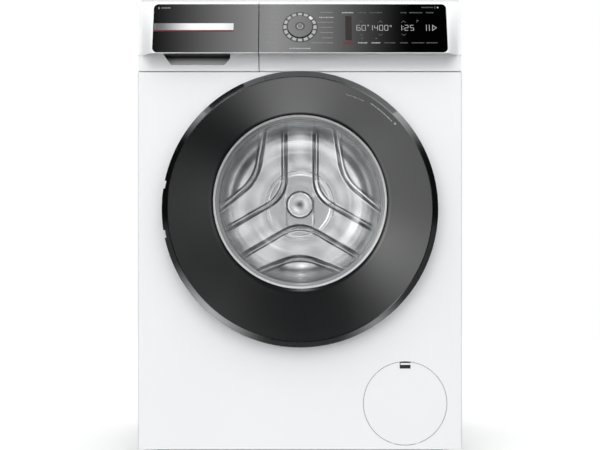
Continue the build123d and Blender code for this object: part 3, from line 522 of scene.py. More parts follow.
def makeFloor():
    reach = studio["floorReach"]
    mesh = bpy.data.meshes.new("floor")
    steps = 96
    points = [(0.0, 0.0, 0.0)]
    for k in range(steps):
        angle = 2 * math.pi * k / steps
        points.append((reach * math.cos(angle), reach * math.sin(angle), 0.0))
    faces = [(0, k + 1, (k + 1) % steps + 1) for k in range(steps)]
    mesh.from_pydata(points, [], faces)
    floor = bpy.data.objects.new("floor", mesh)
    bpy.context.scene.collection.objects.link(floor)
    paper = makeMaterial("paperFloor", {"Specular IOR Level": 0.0}, paperGrain)
    mesh.materials.append(paper)
    floor.visible_glossy = False
    floor.visible_diffuse = False


def paperGrain(place):
    cloud = place.noise(3.0, 3.0)
    return {"Base Color": cloud.blend((0.96, 0.96, 0.96, 1.0), (0.98, 0.98, 0.98, 1.0))}


makeCamera()
makeWorld()
makeFloor()
bpy.context.scene.view_settings.view_transform = "Standard"
print("camera, light and floor made")


# door
door = {
    "ringOuter": 0.2404,
    "ringFrontY": -0.314,
    "window": 0.159,
    "windowY": -0.298,
    "wall": 0.003,
    "steps": 256,
    "hinge": (0.232, 0.028),  # its axis: how far left of the middle, and in front of the panel
    "bowlRim": 0.1775,
    "bowlMouth": 0.149,
    "bowlWall": 0.004,
}


def makeDoorRing():
    # the dish runs from the bezel's circle to the window's circle, which sits higher
    rows = []
    depthSteps = 10
    for i in range(depthSteps + 1):
        t = i / depthSteps
        radius = door["ringOuter"] * (1 - t) + door["window"] * t
        y = door["ringFrontY"] * (1 - t) + door["windowY"] * t
        rows.append((radius, y, doorZ * (1 - t) + drumZ * t))
    rows[-1:] = [
        (door["window"] + 0.0012, door["windowY"] - 0.0003, drumZ),
        (door["window"] + 0.0003, door["windowY"] + 0.0003, drumZ),
        (door["window"], door["windowY"] + 0.0012, drumZ),
        (door["window"], ringHigh[1], drumZ),
        (door["window"] + 0.003, ringHigh[1], drumZ),
        (door["window"] + 0.003, door["windowY"] + door["wall"], drumZ),
        (door["ringOuter"], door["ringFrontY"] + door["wall"], doorZ),
    ]
    points, faces = [], []
    steps = door["steps"]
    for k in range(steps):
        angle = 2 * math.pi * k / steps
        for radius, y, z in rows:
            points.append((radius * math.cos(angle), y, z + radius * math.sin(angle)))
        far = (k + 1) % steps * len(rows)
        for i in range(len(rows)):
            j = (i + 1) % len(rows)
            faces.append((k * len(rows) + i, k * len(rows) + j, far + j, far + i))
    ring = addPiece("doorDish", points, faces, None, "door", "door_gloss_dark", 28)
    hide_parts("door_ring")


def makeDoorGlass():
    # the bowl's wall is an arc about the hinge, so that it clears the drum's mouth as the door swings
    hingeX, ahead = door["hinge"]
    hingeY = frontY - ahead
    swing = math.hypot(door["bowlMouth"] + hingeX, ahead)

    def wallRadius(y):
        return math.sqrt(swing**2 - (y - hingeY) ** 2) - hingeX

    rimY, backY = glassLow[1], -0.290
    deepest = glassHigh[1]
    wallSteps = 14
    first, last = frontY - 0.008, deepest - 0.0135
    outer = [first + (last - first) * i / wallSteps for i in range(wallSteps + 1)]
    tipRadius = wallRadius(last)
    outline = [(door["bowlRim"], rimY), (door["bowlRim"], backY)]
    outline += [(wallRadius(first) + 0.005, backY), (wallRadius(first) + 0.0012, backY + 0.0015)]
    outline += [(wallRadius(y), y) for y in outer]
    outline += [(tipRadius - 0.002, last + 0.004), (tipRadius - 0.006, last + 0.007)]
    outline += [(tipRadius - 0.012, deepest - 0.004), (tipRadius - 0.04, deepest - 0.0016), (0.0, deepest)]
    outline += [(0.0, deepest - 0.004), (tipRadius - 0.04, deepest - 0.0056)]
    outline += [(tipRadius - 0.014, deepest - 0.008), (tipRadius - 0.009, last + 0.003)]
    outline += [(wallRadius(y) - door["bowlWall"], y) for y in reversed(outer)]
    outline += [(wallRadius(first) - 0.0035, rimY + 0.003), (wallRadius(first) - 0.002, rimY)]
    glass = turned("doorBowl", outline, 192, drumZ, None, "door", "clear_glass", 50)
    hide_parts("door_glass")


dashes = {
    "lengths": (1.7, 1.2, 2.1, 0.9, 1.8, 2.2, 1.1),  # degrees
    "outer": {"from": 56.0, "radius": 0.230, "thick": 0.0017, "gap": 0.28},
    "inner": {"from": 68.0, "radius": 0.2225, "thick": 0.0010, "gap": 0.3, "drift": 0.0005, "count": 5},
}


def makeDoorMarks():
    # short printed dashes along an arc of the ring, with a dot at the end
    points, faces = [], []

    def dash(radius, startAngle, endAngle, thick):
        base = len(points)
        cells = max(1, int(abs(endAngle - startAngle) / 1.5))
        for layer in (0, 1):
            for i in range(cells + 1):
                angle = math.radians(startAngle + (endAngle - startAngle) * i / cells)
                for side in (-0.5, 0.5):
                    points.append(dishPoint(radius + side * thick, angle, 0.00025 - 0.0003 * layer))
        row = 2 * (cells + 1)
        for i in range(cells):
            a = base + 2 * i
            faces.append((a, a + 1, a + 3, a + 2))
            faces.append((a + row, a + row + 2, a + row + 3, a + row + 1))
            faces.append((a, a + 2, a + row + 2, a + row))
            faces.append((a + 1, a + row + 1, a + row + 3, a + 3))
        end = base + row - 2
        faces.append((base, base + row, base + row + 1, base + 1))
        faces.append((end, end + 1, end + row + 1, end + row))

    line = dashes["outer"]
    angle = line["from"]
    for length in dashes["lengths"]:
        dash(line["radius"], angle, angle - length, line["thick"])
        angle -= length + line["gap"]
    dash(0.2316, 42.2, 41.2, 0.0036)
    line = dashes["inner"]
    angle = line["from"]
    for length in dashes["lengths"][: line["count"]]:
        radius = line["radius"] + (line["from"] - angle) * line["drift"]
        dash(radius, angle, angle - length, line["thick"])
        angle -= length + line["gap"]
    addPiece("doorDashes", points, faces, printGrey, "door", "door_gloss_dark")


def dishPoint(radius, angle, lift):
    # a point on the dish at that distance from the door's centre, lifted off it
    t = (door["ringOuter"] - radius) / (door["ringOuter"] - door["window"])
    centre = doorZ * (1 - t) + drumZ * t
    y = door["ringFrontY"] * (1 - t) + door["windowY"] * t
    return (radius * math.cos(angle), y - lift, centre + radius * math.sin(angle))


makeDoorRing()
makeDoorGlass()
makeDoorMarks()
print("door made")


# control face: everything is placed by x and by v, the distance up the tilted screen
face = {
    "lean": math.radians(25.2),
    "lowY": frontY - 0.041,
    "lowZ": 0.747,
    "dialV": 0.0533,
    "skin": 0.0006,  # the screen's surface stands this far in front of the fascia
}


def onScreen(x, v, out):
    y = face["lowY"] + v * math.sin(face["lean"]) - out * math.cos(face["lean"])
    z = face["lowZ"] + v * math.cos(face["lean"]) + out * math.sin(face["lean"])
    return (x, y, z)


def addPrisms(name, outlines, low, high, material, body, slot):
    # flat closed prisms on the screen, from outlines of (x, v) in millimetres
    points, faces = [], []
    for outline in outlines:
        base, size = len(points), len(outline)
        for out in (low, high):
            points += [onScreen(x / 1000, v / 1000, out) for x, v in outline]
        faces.append(tuple(range(base, base + size)))
        faces.append(tuple(range(base + 2 * size - 1, base + size - 1, -1)))
        for i in range(size):
            j = (i + 1) % size
            faces.append((base + i, base + size + i, base + size + j, base + j))
    return addPiece(name, points, faces, material, body, slot)


def bar(x0, x1, v, tall):
    return [(x0, v - tall / 2), (x1, v - tall / 2), (x1, v + tall / 2), (x0, v + tall / 2)]


def words(x0, x1, v, tall, seed):
    # a legend stands as a row of short bars of uneven width
    mixer = numpy.random.default_rng(seed)
    row, x = [], x0
    while x < x1 - 0.6:
        width = min(x1 - x, float(mixer.uniform(1.0, 2.6)))
        shift = float(mixer.uniform(-0.15, 0.15))
        row.append(bar(x, x + width, v + shift, tall * float(mixer.uniform(0.75, 1.0))))
        x += width + 0.7
    return row


# the strokes of a figure: a top, b and c right, d foot, e and f left, g middle
strokesOf = {
    "0": "abcdef",
    "1": "bc",
    "2": "abged",
    "4": "fgbc",
    "5": "afgcd",
    "6": "afgedc",
}


def figure(sign, x, v, wide, tall, stroke):
    half = tall / 2
    slabs = {
        "a": bar(x + 0.25, x + wide - 0.25, v + half, stroke),
        "g": bar(x + 0.25, x + wide - 0.25, v, stroke),
        "d": bar(x + 0.25, x + wide - 0.25, v - half, stroke),
        "f": bar(x - stroke / 2, x + stroke / 2, v + half / 2, half - 0.2),
        "e": bar(x - stroke / 2, x + stroke / 2, v - half / 2, half - 0.2),
        "b": bar(x + wide - stroke / 2, x + wide + stroke / 2, v + half / 2, half - 0.2),
        "c": bar(x + wide - stroke / 2, x + wide + stroke / 2, v - half / 2, half - 0.2),
    }
    return [slabs[key] for key in strokesOf[sign]]


def disc(x, v, radius, count=16):
    angles = [2 * math.pi * k / count for k in range(count)]
    return [(x + radius * math.cos(a), v + radius * math.sin(a)) for a in angles]


def arcBand(x, v, inner, outer, start, end, count=8):
    angles = [math.radians(start + (end - start) * k / count) for k in range(count + 1)]
    far = [(x + outer * math.cos(a), v + outer * math.sin(a)) for a in angles]
    near = [(x + inner * math.cos(a), v + inner * math.sin(a)) for a in reversed(angles)]
    return far + near


def chevron(x, v, half, rise, stroke):
    outside = [(x - half, v), (x, v + rise), (x + half, v)]
    return outside + [(x + half - stroke, v), (x, v + rise - stroke * 1.3), (x - half + stroke, v)]


display = {
    "middle": 52.0,  # v of the figures' middle
    "figureTall": 11.0,
    "stroke": 0.95,
    "figures": [  # sign, x and width
        ("6", 103.8, 6.4), ("0", 113.4, 6.4), ("1", 128.0, 4.6), ("4", 136.2, 6.0), ("0", 145.6, 6.0),
        ("0", 155.0, 6.0), ("1", 181.6, 4.6), ("2", 192.0, 6.0), ("5", 202.0, 6.0),
    ],
    "colon": (189.1, 2.6, 0.7),  # x, distance from the middle and radius of its dots
    "circles": [(124.9, 57.0, 0.9, 1.6), (166.1, 55.7, 1.2, 1.9)],  # x, v, inner and outer radius
    "pauseBars": [(230.9, 231.9), (236.3, 237.3)],
    "pauseTall": 13.0,
    "triangle": [(242.4, 58.6), (250.7, 52.0), (241.9, 45.3)],
    "triangleInside": [(243.5, 56.4), (248.9, 52.0), (243.1, 47.5)],
    "chevronsUp": (112.2, 147.2, 190.0),
    "chevronsDown": (112.7, 146.9, 189.5),
    "bright": [(77.0, 99.2, 84.7), (105.6, 122.4, 19.9), (130.5, 147.3, 19.9)],
    "dim": [
        (105.1, 122.9, 84.7), (126.6, 151.0, 84.7), (185.0, 196.0, 84.7), (201.2, 225.6, 84.7),
        (231.5, 246.3, 84.7), (153.9, 174.4, 19.9), (182.5, 196.4, 19.9), (203.7, 226.4, 19.9),
        (230.1, 251.3, 19.9),
    ],
    "legends": [
        (-59.6, -35.9, 85.2), (-58.5, -36.9, 74.4), (-63.7, -35.8, 63.4), (-59.4, -35.7, 52.9),
        (-64.5, -33.0, 41.6), (-61.8, -34.6, 33.9), (-63.2, -43.9, 19.8), (37.0, 59.7, 85.2),
        (32.7, 61.6, 63.8), (34.7, 60.5, 52.9), (36.8, 60.9, 41.8), (40.9, 60.3, 30.5), (20.4, 60.7, 19.8),
    ],
    "brightLegends": [(35.4, 61.2, 74.4), (-19.3, 18.8, 7.9)],
}


def glowing(name, level, strength=1.0):
    # printed light on the dark screen, a little uneven as lit plastic is
    def build(place):
        cloud = place.noise(300.0, 2.0)
        low = tuple(part * 0.85 for part in level[:3]) + (1.0,)
        return {"Emission Color": cloud.blend(low, level), "Roughness": 0.3 + 0.1 * cloud}

    values = {"Emission Strength": strength, "Base Color": screenColor(20)}
    return makeMaterial(name, values, build)


glowBright = glowing("glowBright", screenColor(236, 238, 240))
glowFigure = glowing("glowFigure", screenColor(184, 186, 188))
glowDim = glowing("glowDim", screenColor(84, 86, 88))
glowFaint = glowing("glowFaint", screenColor(138, 140, 142))
glowRed = glowing("glowRed", screenColor(104, 16, 28))
glowDarkRed = glowing("glowDarkRed", screenColor(30, 5, 8))


def makeDisplay():
    low, high = face["skin"] - 0.0002, face["skin"] + 0.00015
    middle = display["middle"]
    big = []
    for sign, x, wide in display["figures"]:
        big += figure(sign, x, middle, wide, display["figureTall"], display["stroke"])
    x, away, radius = display["colon"]
    big += [disc(x, middle + away, radius), disc(x, middle - away, radius)]
    for circle in display["circles"]:
        big += [arcBand(*circle, 0, 180), arcBand(*circle, 180, 360)]
    big += [bar(x0, x1, middle, display["pauseTall"]) for x0, x1 in display["pauseBars"]]
    triangle, inside = display["triangle"], display["triangleInside"]
    for i in range(3):
        j = (i + 1) % 3
        big.append([triangle[i], triangle[j], inside[j], inside[i]])
    for x0, x1, v in display["bright"]:
        big += words(x0, x1, v, 2.6, int(x0))
    big += [disc(253.7, 96.0, 1.6), bar(248.4, 248.8, 96.0, 5.0)]
    addPrisms("displayFigures", big, low, high, glowFigure, "cabinet", "black_gloss")

    dim = []
    for x0, x1, v in display["dim"]:
        dim += words(x0, x1, v, 2.3, int(x0))
    dim += words(223.8, 245.2, 96.0, 2.4, 7)
    for x in display["chevronsUp"]:
        dim.append(chevron(x, 63.3, 4.6, 4.4, 1.1))
    for x in display["chevronsDown"]:
        dim.append([(px, 2 * 38.6 - pv) for px, pv in chevron(x, 38.2, 4.6, 4.0, 1.1)])
    dim += [bar(213.9, 214.7, 66.0, 6.0), [(214.7, 69.0), (218.5, 67.4), (214.7, 65.6)]]
    dim += [arcBand(113.4, 29.7, 1.3, 2.1, 200, 520)]
    dim += [bar(137.2, 141.2, 29.3, 1.0), bar(138.8, 139.6, 29.3, 4.0)]
    addPrisms("displayMarks", dim, low, high, glowDim, "cabinet", "black_gloss")

    strip, lamp = [bar(82.9, 94.7, 51.5, 52.0)], words(78.6, 97.4, 19.9, 6.6, 3)
    addPrisms("displayStrip", strip, low, high - 0.0001, glowDarkRed, "cabinet", "black_gloss")
    addPrisms("displayLamp", lamp, low, high, glowRed, "cabinet", "black_gloss")

    legends, strong = [], []
    for number, (x0, x1, v) in enumerate(display["legends"]):
        legends += words(x0, x1, v, 1.9, 20 + number)
    for number, (x0, x1, v) in enumerate(display["brightLegends"]):
        strong += words(x0, x1, v, 2.3, 50 + number)
    addPrisms("programmeLegends", legends, low, high, glowFaint, "cabinet", "black_gloss")
    addPrisms("mainLegends", strong, low, high, glowFigure, "cabinet", "black_gloss")


dial = {
    "segments": 16,
    "litSegment": 2,
    "inner": 24.9,
    "outer": 30.4,
    "share": 15.6,  # degrees that one light segment takes
    # radius and distance out of the screen
    "surround": [(24.6, -0.5), (32.0, -0.5), (32.0, 0.6), (31.6, 0.9), (25.0, 0.9), (24.6, 0.6)],
    "cap": [
        (8.0, -9.0), (11.5, -9.0), (11.5, -0.3), (24.0, -0.3), (24.0, 3.6), (23.85, 3.95), (23.5, 4.15),
        (23.0, 4.2), (22.7, 4.2), (8.4, 4.2), (8.1, 4.2), (8.03, 4.17), (8.0, 4.1),
    ],
    "button": [(0.0, -8.0), (7.6, -8.0), (7.6, 4.0), (7.57, 4.07), (7.5, 4.1), (7.2, 4.1), (0.0, 4.1)],
}


def screenTurned(name, profile, material, body, slot, steps=96, sharp=30):
    # an outline of (radius, out) in millimetres turned about the dial's axis
    points, faces = [], []
    count = len(profile)
    for k in range(steps):
        angle = 2 * math.pi * k / steps
        for radius, out in profile:
            x = radius * math.cos(angle) / 1000
            v = face["dialV"] + radius * math.sin(angle) / 1000
            points.append(onScreen(x, v, out / 1000))
        for i in range(count):
            j = (i + 1) % count
            far = (k + 1) % steps * count
            faces.append((k * count + i, k * count + j, far + j, far + i))
    return addPiece(name, points, faces, material, body, slot, sharp)


def makeDial():
    centre = face["dialV"] * 1000
    lit, plain = [], []
    for k in range(dial["segments"]):
        middle = 360 / dial["segments"] * k
        start, end = middle - dial["share"] / 2, middle + dial["share"] / 2
        band = arcBand(0.0, centre, dial["inner"], dial["outer"], start, end, 4)
        (lit if k == dial["litSegment"] else plain).append(band)
    addPrisms("dialSegments", plain, 0.0007, 0.0012, glowSegment, "cabinet", "light_ring_plastic")
    addPrisms("dialLitSegment", lit, 0.0007, 0.0012, glowBright, "cabinet", "light_ring_plastic")

    base = screenTurned("dialSurround", dial["surround"], None, "cabinet", "light_ring_plastic")
    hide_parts("dial_ring")

    knob = screenTurned("dialCap", dial["cap"], None, "program_dial", "black_gloss")
    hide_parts("program_dial")
    tick = bar(-0.35, 0.35, centre + 20.0, 3.6)
    addPrisms("dialTick", [tick], 0.0041, 0.0043, glowFaint, "program_dial", "black_gloss")

    push = screenTurned("startButton", dial["button"], None, "power_button", "black_gloss", 64)
    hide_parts("power_button")
    symbol = [arcBand(0.0, centre, 4.2, 5.1, 140, 400, 20), bar(-0.5, 0.5, centre + 4.5, 3.4)]
    addPrisms("startSymbol", symbol, 0.0040, 0.0042, glowFigure, "power_button", "black_gloss")


glowSegment = glowing("glowSegment", screenColor(182, 184, 186))


def silver(place):
    # brushed along X; its shading is a painted reflection, darker at the left end, bright further along and
    # a little duller towards the right end
    x, y, z = place.parts()
    lines = place.joined(x * 40.0, y * 1500.0, z * 1500.0).noise(1.0, 3.0)
    paintedReflection = x.smooth(-0.262, -0.19)
    paintedDimming = x.smooth(-0.150, -0.122) * 0.3
    # painted reflection: near black at the left end, bright from the middle on, then dimmed towards the
    # right
    lit = paintedReflection.blend((0.10, 0.10, 0.11, 1.0), (0.80, 0.80, 0.81, 1.0))
    tint = paintedDimming.blend(lit, (0.3, 0.3, 0.31, 1.0))
    return {"Base Color": tint, "Roughness": 0.3 + 0.12 * lines, "Normal": lines.bump(0.1, 0.0002)}


def makeDrawerMarks():
    strip = makeMaterial("silverStrip", {"Metallic": 0.0, "Specular IOR Level": 0.7}, silver)
    low, high = face["skin"] - 0.0002, face["skin"] + 0.0003
    left, right = -268.0, -121.8
    addPrisms("drawerBadgeStrip", [bar(left, right, 54.4, 14.4)], low, high, strip, "drawer", "chrome_trim")
    addPrisms("drawerRedLine", [bar(left, right, 45.6, 2.4)], low, high, glowRed, "drawer", "black_gloss")
    drop = [disc(-259.8, 94.3, 1.7), [(-261.1, 95.2), (-258.5, 95.2), (-259.8, 98.0)]]
    marks = drop + words(-255.0, -238.5, 94.9, 2.6, 11)
    addPrisms("drawerMarks", marks, low, high, glowFaint, "drawer", "black_gloss")


makeDisplay()
makeDial()
makeDrawerMarks()
print("control face made")


# grip under the drawer's screen
grip = {
    "left": -0.2492,
    "right": -0.1278,
    "top": 0.7446,
    "slant": 0.62,  # how far the ends lean in, for each metre of depth below the top
    "mouth": [  # x and z of the opening's corners
        (-0.2499, 0.7448), (-0.1272, 0.7448), (-0.1290, 0.7380), (-0.1400, 0.7275), (-0.2370, 0.7275),
    ],
    "scoop": [(-0.0030, 0.7280), (0.0030, 0.7306), (0.0080, 0.7342), (0.0115, 0.7385), (0.0130, 0.7446)],
}


def gripShade(place):
    # painted shade: dark at the top of the pocket, where shade falls, fading to white towards the lip
    height = place.parts()[2]
    grain = place.noise(1500.0, 2.0)
    # blend factor of the painted shade: dark at the pocket's top, white from the lip down
    depth = height.smooth(0.7450, 0.7285)
    tint = depth.blend(screenColor(2), finish["plasticWhite"])
    return {"Base Color": tint, "Roughness": 0.45 + 0.1 * grain, "Normal": grain.bump(0.1, 0.0002)}


def makeGripScoop():
    wall = 0.0004
    front = [(frontY + y, z) for y, z in grip["scoop"]]
    ceiling = [(frontY - 0.036, grip["top"])]
    sheet = front + ceiling
    back = [(y + wall, z - wall if y > frontY - 0.02 else z + 0.0001) for y, z in sheet]
    back[-2] = (front[-1][0] + wall, grip["top"] + 0.00015)
    back[-1] = (ceiling[0][0], grip["top"] + 0.00015)
    points, faces = [], []
    for side in (0, 1):
        for y, z in sheet + back[::-1]:
            lean = (grip["top"] - z) * grip["slant"]
            x = grip["left"] + lean if side == 0 else grip["right"] - lean
            points.append((x, y, z))
    size = 2 * len(sheet)
    for i in range(size):
        j = (i + 1) % size
        faces.append((i, j, size + j, size + i))
    half = len(sheet)
    for side in (0, 1):
        for i in range(half - 1):
            a, b = side * size + i, side * size + size - 1 - i
            faces.append((a, a + 1, b - 1, b))
    material = makeMaterial("gripShade", {}, gripShade)
    addPiece("gripScoop", points, faces, material, "drawer", "dark_plastic", 40)


makeGripScoop()


# service flap: seal behind its gap, and a dark box behind its finger notch as painted shade
flap = {
    "centreX": 0.1938,
    "centreZ": 0.1045,
    "radius": 0.0765,
    "gap": 0.001,
    "sealOpen": 24,  # degrees left free either side of the hinge
    "notchHalf": 0.0104,
    "notchDeep": 0.0127,
    "hingeHalf": (0.019, 0.0326),  # the sheet's two slots for the hinge, either side of the middle
    "hingeTall": (0.0281, 0.0339),
}


def makeFlapSurround():
    x, z = flap["centreX"], flap["centreZ"]
    inner, outer = flap["radius"] - 0.0015, flap["radius"] + 0.0025
    near, far = frontY + 0.0026, frontY + 0.0034
    points, faces = [], []
    steps, free = 120, flap["sealOpen"]
    for k in range(steps + 1):
        angle = math.radians(free - 90 + (360 - 2 * free) * k / steps)
        for radius, y in ((inner, near), (outer, near), (outer, far), (inner, far)):
            points.append((x + radius * math.cos(angle), y, z + radius * math.sin(angle)))
    for k in range(steps):
        for i in range(4):
            j = (i + 1) % 4
            faces.append((4 * k + i, 4 * k + j, 4 * k + 4 + j, 4 * k + 4 + i))
    faces += [(0, 1, 2, 3), (4 * steps, 4 * steps + 3, 4 * steps + 2, 4 * steps + 1)]
    addPiece("flapSeal", points, faces, slotMaterials["grey_rubber"], "cabinet", "white_plastic")

    top = z + flap["radius"]
    near, far = frontY + 0.0024, frontY + 0.0036
    left, right = x - flap["notchHalf"], x + flap["notchHalf"]
    low = top - flap["notchDeep"] - 0.001
    # a dark box behind the notch: painted shade for the hollow seen through it
    notchShadeBox = ((left - 0.001, near, low), (right + 0.001, far, top + 0.0006))
    addBoxes("flapNotchShade", [notchShadeBox], "dark_plastic", "cabinet")

    points, faces = [], []
    reach = flap["radius"] + flap["gap"]
    for side in (-1, 1):
        near, far = flap["hingeHalf"]
        low, high = flap["hingeTall"]
        rim = []
        for i in range(7):
            across = near + (far - near) * i / 6
            edge = z - math.sqrt(reach**2 - across**2)
            rim.append((x + side * across, min(edge, high)))
        outline = [(x + side * near, low)] + rim + [(x + side * far, low)]
        base, size = len(points), len(outline)
        for y in (frontY, frontY + 0.0008):
            points += [(px, y, pz) for px, pz in outline]
        faces += [tuple(range(base, base + size)), tuple(range(base + size, base + 2 * size))]
        for i in range(size):
            j = (i + 1) % size
            faces.append((base + i, base + j, base + size + j, base + size + i))
    addPiece("panelHingeLands", points, faces, None, "cabinet", "white_enamel")


def addBoxes(name, corners, slot, body, material=None):
    points, faces = [], []
    for low, high in corners:
        base = len(points)
        xs, ys, zs = zip(low, high)
        points += [(x, y, z) for z in zs for y in ys for x in xs]
        for corner in ((0, 2, 3, 1), (4, 5, 7, 6), (0, 1, 5, 4), (2, 6, 7, 3), (0, 4, 6, 2), (1, 3, 7, 5)):
            faces.append(tuple(base + i for i in corner))
    return addPiece(name, points, faces, material, body, slot)


makeFlapSurround()


# drum
drum = {
    "wallSteps": 140,
    "turnSteps": 540,
    "channelHalf": 0.0285,
    "fieldHalf": 0.0945,
    "fieldLean": 0.14,
    "channelRound": 0.036,  # how far from a meeting of two arms its rounding starts
    "fieldRound": 0.030,
    "stepDeep": 0.0048,
    "crownPitch": 0.078,
    "circles": (0.0655, 0.0705),  # radii of the fine pressed circles
    "edge": 0.0046,
}


def smoothStep(value, low, high):
    t = numpy.clip((value - low) / (high - low), 0.0, 1.0)
    return t * t * (3 - 2 * t)


def armDistance(x, z, reach, lean):
    # distance to the nearest of the three arms at 90, 210 and 330 degrees, rounded where two meet
    nearest = numpy.full_like(x, 1.0)
    radius = numpy.hypot(x, z) + 1e-9
    for degrees in (90, 210, 330):
        ax, az = math.cos(math.radians(degrees)), math.sin(math.radians(degrees))
        along = x * ax + z * az
        across = numpy.abs(x * az - z * ax)
        distance = numpy.where(along > 0, across + lean * along, radius - along)
        overlap = numpy.maximum(reach - numpy.abs(nearest - distance), 0.0)
        nearest = numpy.minimum(nearest, distance) - overlap**2 / (4 * reach)
    return nearest


def makeDrumBack():
    rows, turns = drum["wallSteps"], drum["turnSteps"]
    radii = numpy.linspace(0.0, drumRadius, rows + 1)[1:]
    angles = numpy.linspace(0.0, 2 * math.pi, turns, endpoint=False)
    radius, angle = numpy.meshgrid(radii, angles, indexing="ij")
    x, z = radius * numpy.cos(angle), radius * numpy.sin(angle)
    near = armDistance(x, z, drum["channelRound"], 0.0)
    far = armDistance(x, z, drum["fieldRound"], drum["fieldLean"])
    edge = drum["edge"]
    level = smoothStep(near, drum["channelHalf"] - edge / 2, drum["channelHalf"] + edge / 2)
    level += smoothStep(far, drum["fieldHalf"] - edge / 2, drum["fieldHalf"] + edge / 2)
    bead = numpy.exp(-(((near - drum["channelHalf"] - 0.007) / 0.0025) ** 2)) * 0.22
    bead += numpy.exp(-(((far - drum["fieldHalf"] - 0.007) / 0.0025) ** 2)) * 0.22
    level += bead * smoothStep(radius, 0.03, 0.05)
    dome = smoothStep(radius, 0.150, 0.130) * 0.22
    crown = 0.10 * numpy.cos(2 * math.pi * radius / drum["crownPitch"])
    level += crown * smoothStep(radius, 0.04, 0.06)
    trough = numpy.clip(near / drum["channelHalf"], 0.0, 1.0) ** 2
    level -= 0.14 * trough * smoothStep(radius, 0.05, 0.08)
    hubLine = numpy.exp(-(((numpy.abs(x) - drum["channelHalf"]) / 0.0011) ** 2)) * 0.2
    level += hubLine * smoothStep(z, -0.046, -0.042) * smoothStep(z, 0.03, 0.01)
    level = level + dome * smoothStep(far, drum["fieldHalf"], drum["fieldHalf"] + 0.01)
    level *= smoothStep(radius, 0.236, 0.222)
    for circle in drum["circles"]:
        line = numpy.exp(-(((radius - circle) / 0.001) ** 2)) * 0.16
        level += line * numpy.where(level < 1.2, 1.0, 0.3)
    flatY = wallHigh[1] - 0.0012
    highest = float(level.max())
    reach = min(drum["stepDeep"], (flatY - wallLow[1] - 0.0001) / highest)
    depth = flatY - level * reach
    points = [(0.0, flatY, drumZ)]
    grid = zip(x.ravel().tolist(), depth.ravel().tolist(), (z.ravel() + drumZ).tolist())
    points += list(grid)
    faces = [(0, 1 + k, 1 + (k + 1) % turns) for k in range(turns)]
    for i in range(rows - 1):
        for k in range(turns):
            a, b = 1 + i * turns + k, 1 + i * turns + (k + 1) % turns
            faces.append((a, a + turns, b + turns, b))
    rim = 1 + (rows - 1) * turns
    base = len(points)
    points += [(drumRadius * math.cos(t), wallHigh[1], drumZ + drumRadius * math.sin(t)) for t in angles]
    points.append((0.0, wallHigh[1], drumZ))
    for k in range(turns):
        n = (k + 1) % turns
        faces.append((rim + k, base + k, base + n, rim + n))
        faces.append((base + k, base + turns, base + n))
    wall = addPiece("drumBack", points, faces, None, "drum", "stainless", 40)
    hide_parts("drum_rear_wall")


def makeDrumShell():
    mouth, low, high = 0.178, shellLow[1], shellHigh[1]
    wall = 0.001
    outline = [(mouth, low + 0.009), (mouth, low + 0.003)]
    outline += [(mouth + 0.001, low + 0.001), (mouth + 0.003, low)]
    outline += [(drumRadius - 0.006, low), (drumRadius - 0.0018, low + 0.0018), (drumRadius, low + 0.006)]
    outline += [(drumRadius, y) for y in (low + 0.08, low + 0.088, low + 0.26, low + 0.268, high)]
    outline += [(drumRadius - wall, high), (drumRadius - wall, low + 0.268)]
    outline += [(drumRadius - wall - 0.002, low + 0.264), (drumRadius - wall, low + 0.26)]
    outline += [(drumRadius - wall, low + 0.088), (drumRadius - wall - 0.002, low + 0.084)]
    outline += [(drumRadius - wall, low + 0.08), (drumRadius - wall, low + 0.006)]
    outline += [(drumRadius - 0.006, low + wall), (mouth + 0.003, low + wall), (mouth + wall, low + 0.003)]
    outline += [(mouth + wall, low + 0.009)]
    shell = turned("drumShell", outline, 192, drumZ, None, "drum", "stainless", 40)
    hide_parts("drum_shell")


hub = {  # distance from the axis, or in from the rim, and how far behind the foremost point
    "dish": [
        (0.0, 0.0009), (0.006, 0.0008), (0.012, 0.0004), (0.018, 0.0001),
        (0.0225, 0.0), (0.0262, 0.0002), (0.0279, 0.0009), (0.0290, 0.0024),
    ],
    "rim": [(0.0003, 0.0060), (0.0, 0.0105)],
}


def makeHubCap():
    front, back, radius = hubLow[1], hubHigh[1], hubHigh[0]
    outline = [(away, front + sunk) for away, sunk in hub["dish"]]
    outline += [(radius - inward, front + sunk) for inward, sunk in hub["rim"]]
    outline += [(radius, back), (0.0, back)]
    shine = makeMaterial("brightHub", {"Metallic": 1.0}, hubShine)
    cap = turned("hubCap", outline, 96, drumZ, shine, "drum", "chrome_trim", 50)
    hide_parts("hub_cap")


def hubShine(place):
    radius, angle, depth = roundAbout(place, drumZ)
    lines = place.joined(radius * 2600.0, angle * 2.0, depth * 10.0).noise(1.0, 2.0)
    centre = radius.smooth(0.014, 0.001)
    tint = centre.blend((0.88, 0.88, 0.89, 1.0), (0.16, 0.16, 0.17, 1.0))
    return {"Base Color": tint, "Roughness": 0.14 + 0.1 * lines}


makeDrumBack()
makeDrumShell()
makeHubCap()
print("drum made")



def makeInteriorLights():
    # soft lamps round the drum's mouth, out of the camera's sight
    for k in range(lamps["count"]):
        angle = 2 * math.pi * (k + 0.5) / lamps["count"]
        across, upward = lamps["reach"] * math.cos(angle), lamps["reach"] * math.sin(angle)
        light = bpy.data.lights.new("mouthLamp", "AREA")
        light.shape = "DISK"
        light.size = lamps["size"]
        light.energy = lamps["energy"]
        lamp = bpy.data.objects.new("mouthLamp", light)
        lamp.location = (across, lamps["y"], drumZ + upward)
        lamp.rotation_euler = (math.radians(90), 0.0, 0.0)
        lamp.visible_camera = False
        bpy.context.scene.collection.objects.link(lamp)


lamps = {"count": 10, "size": 0.07, "energy": 0.008, "reach": 0.135, "y": shellLow[1] + 0.012}
makeInteriorLights()


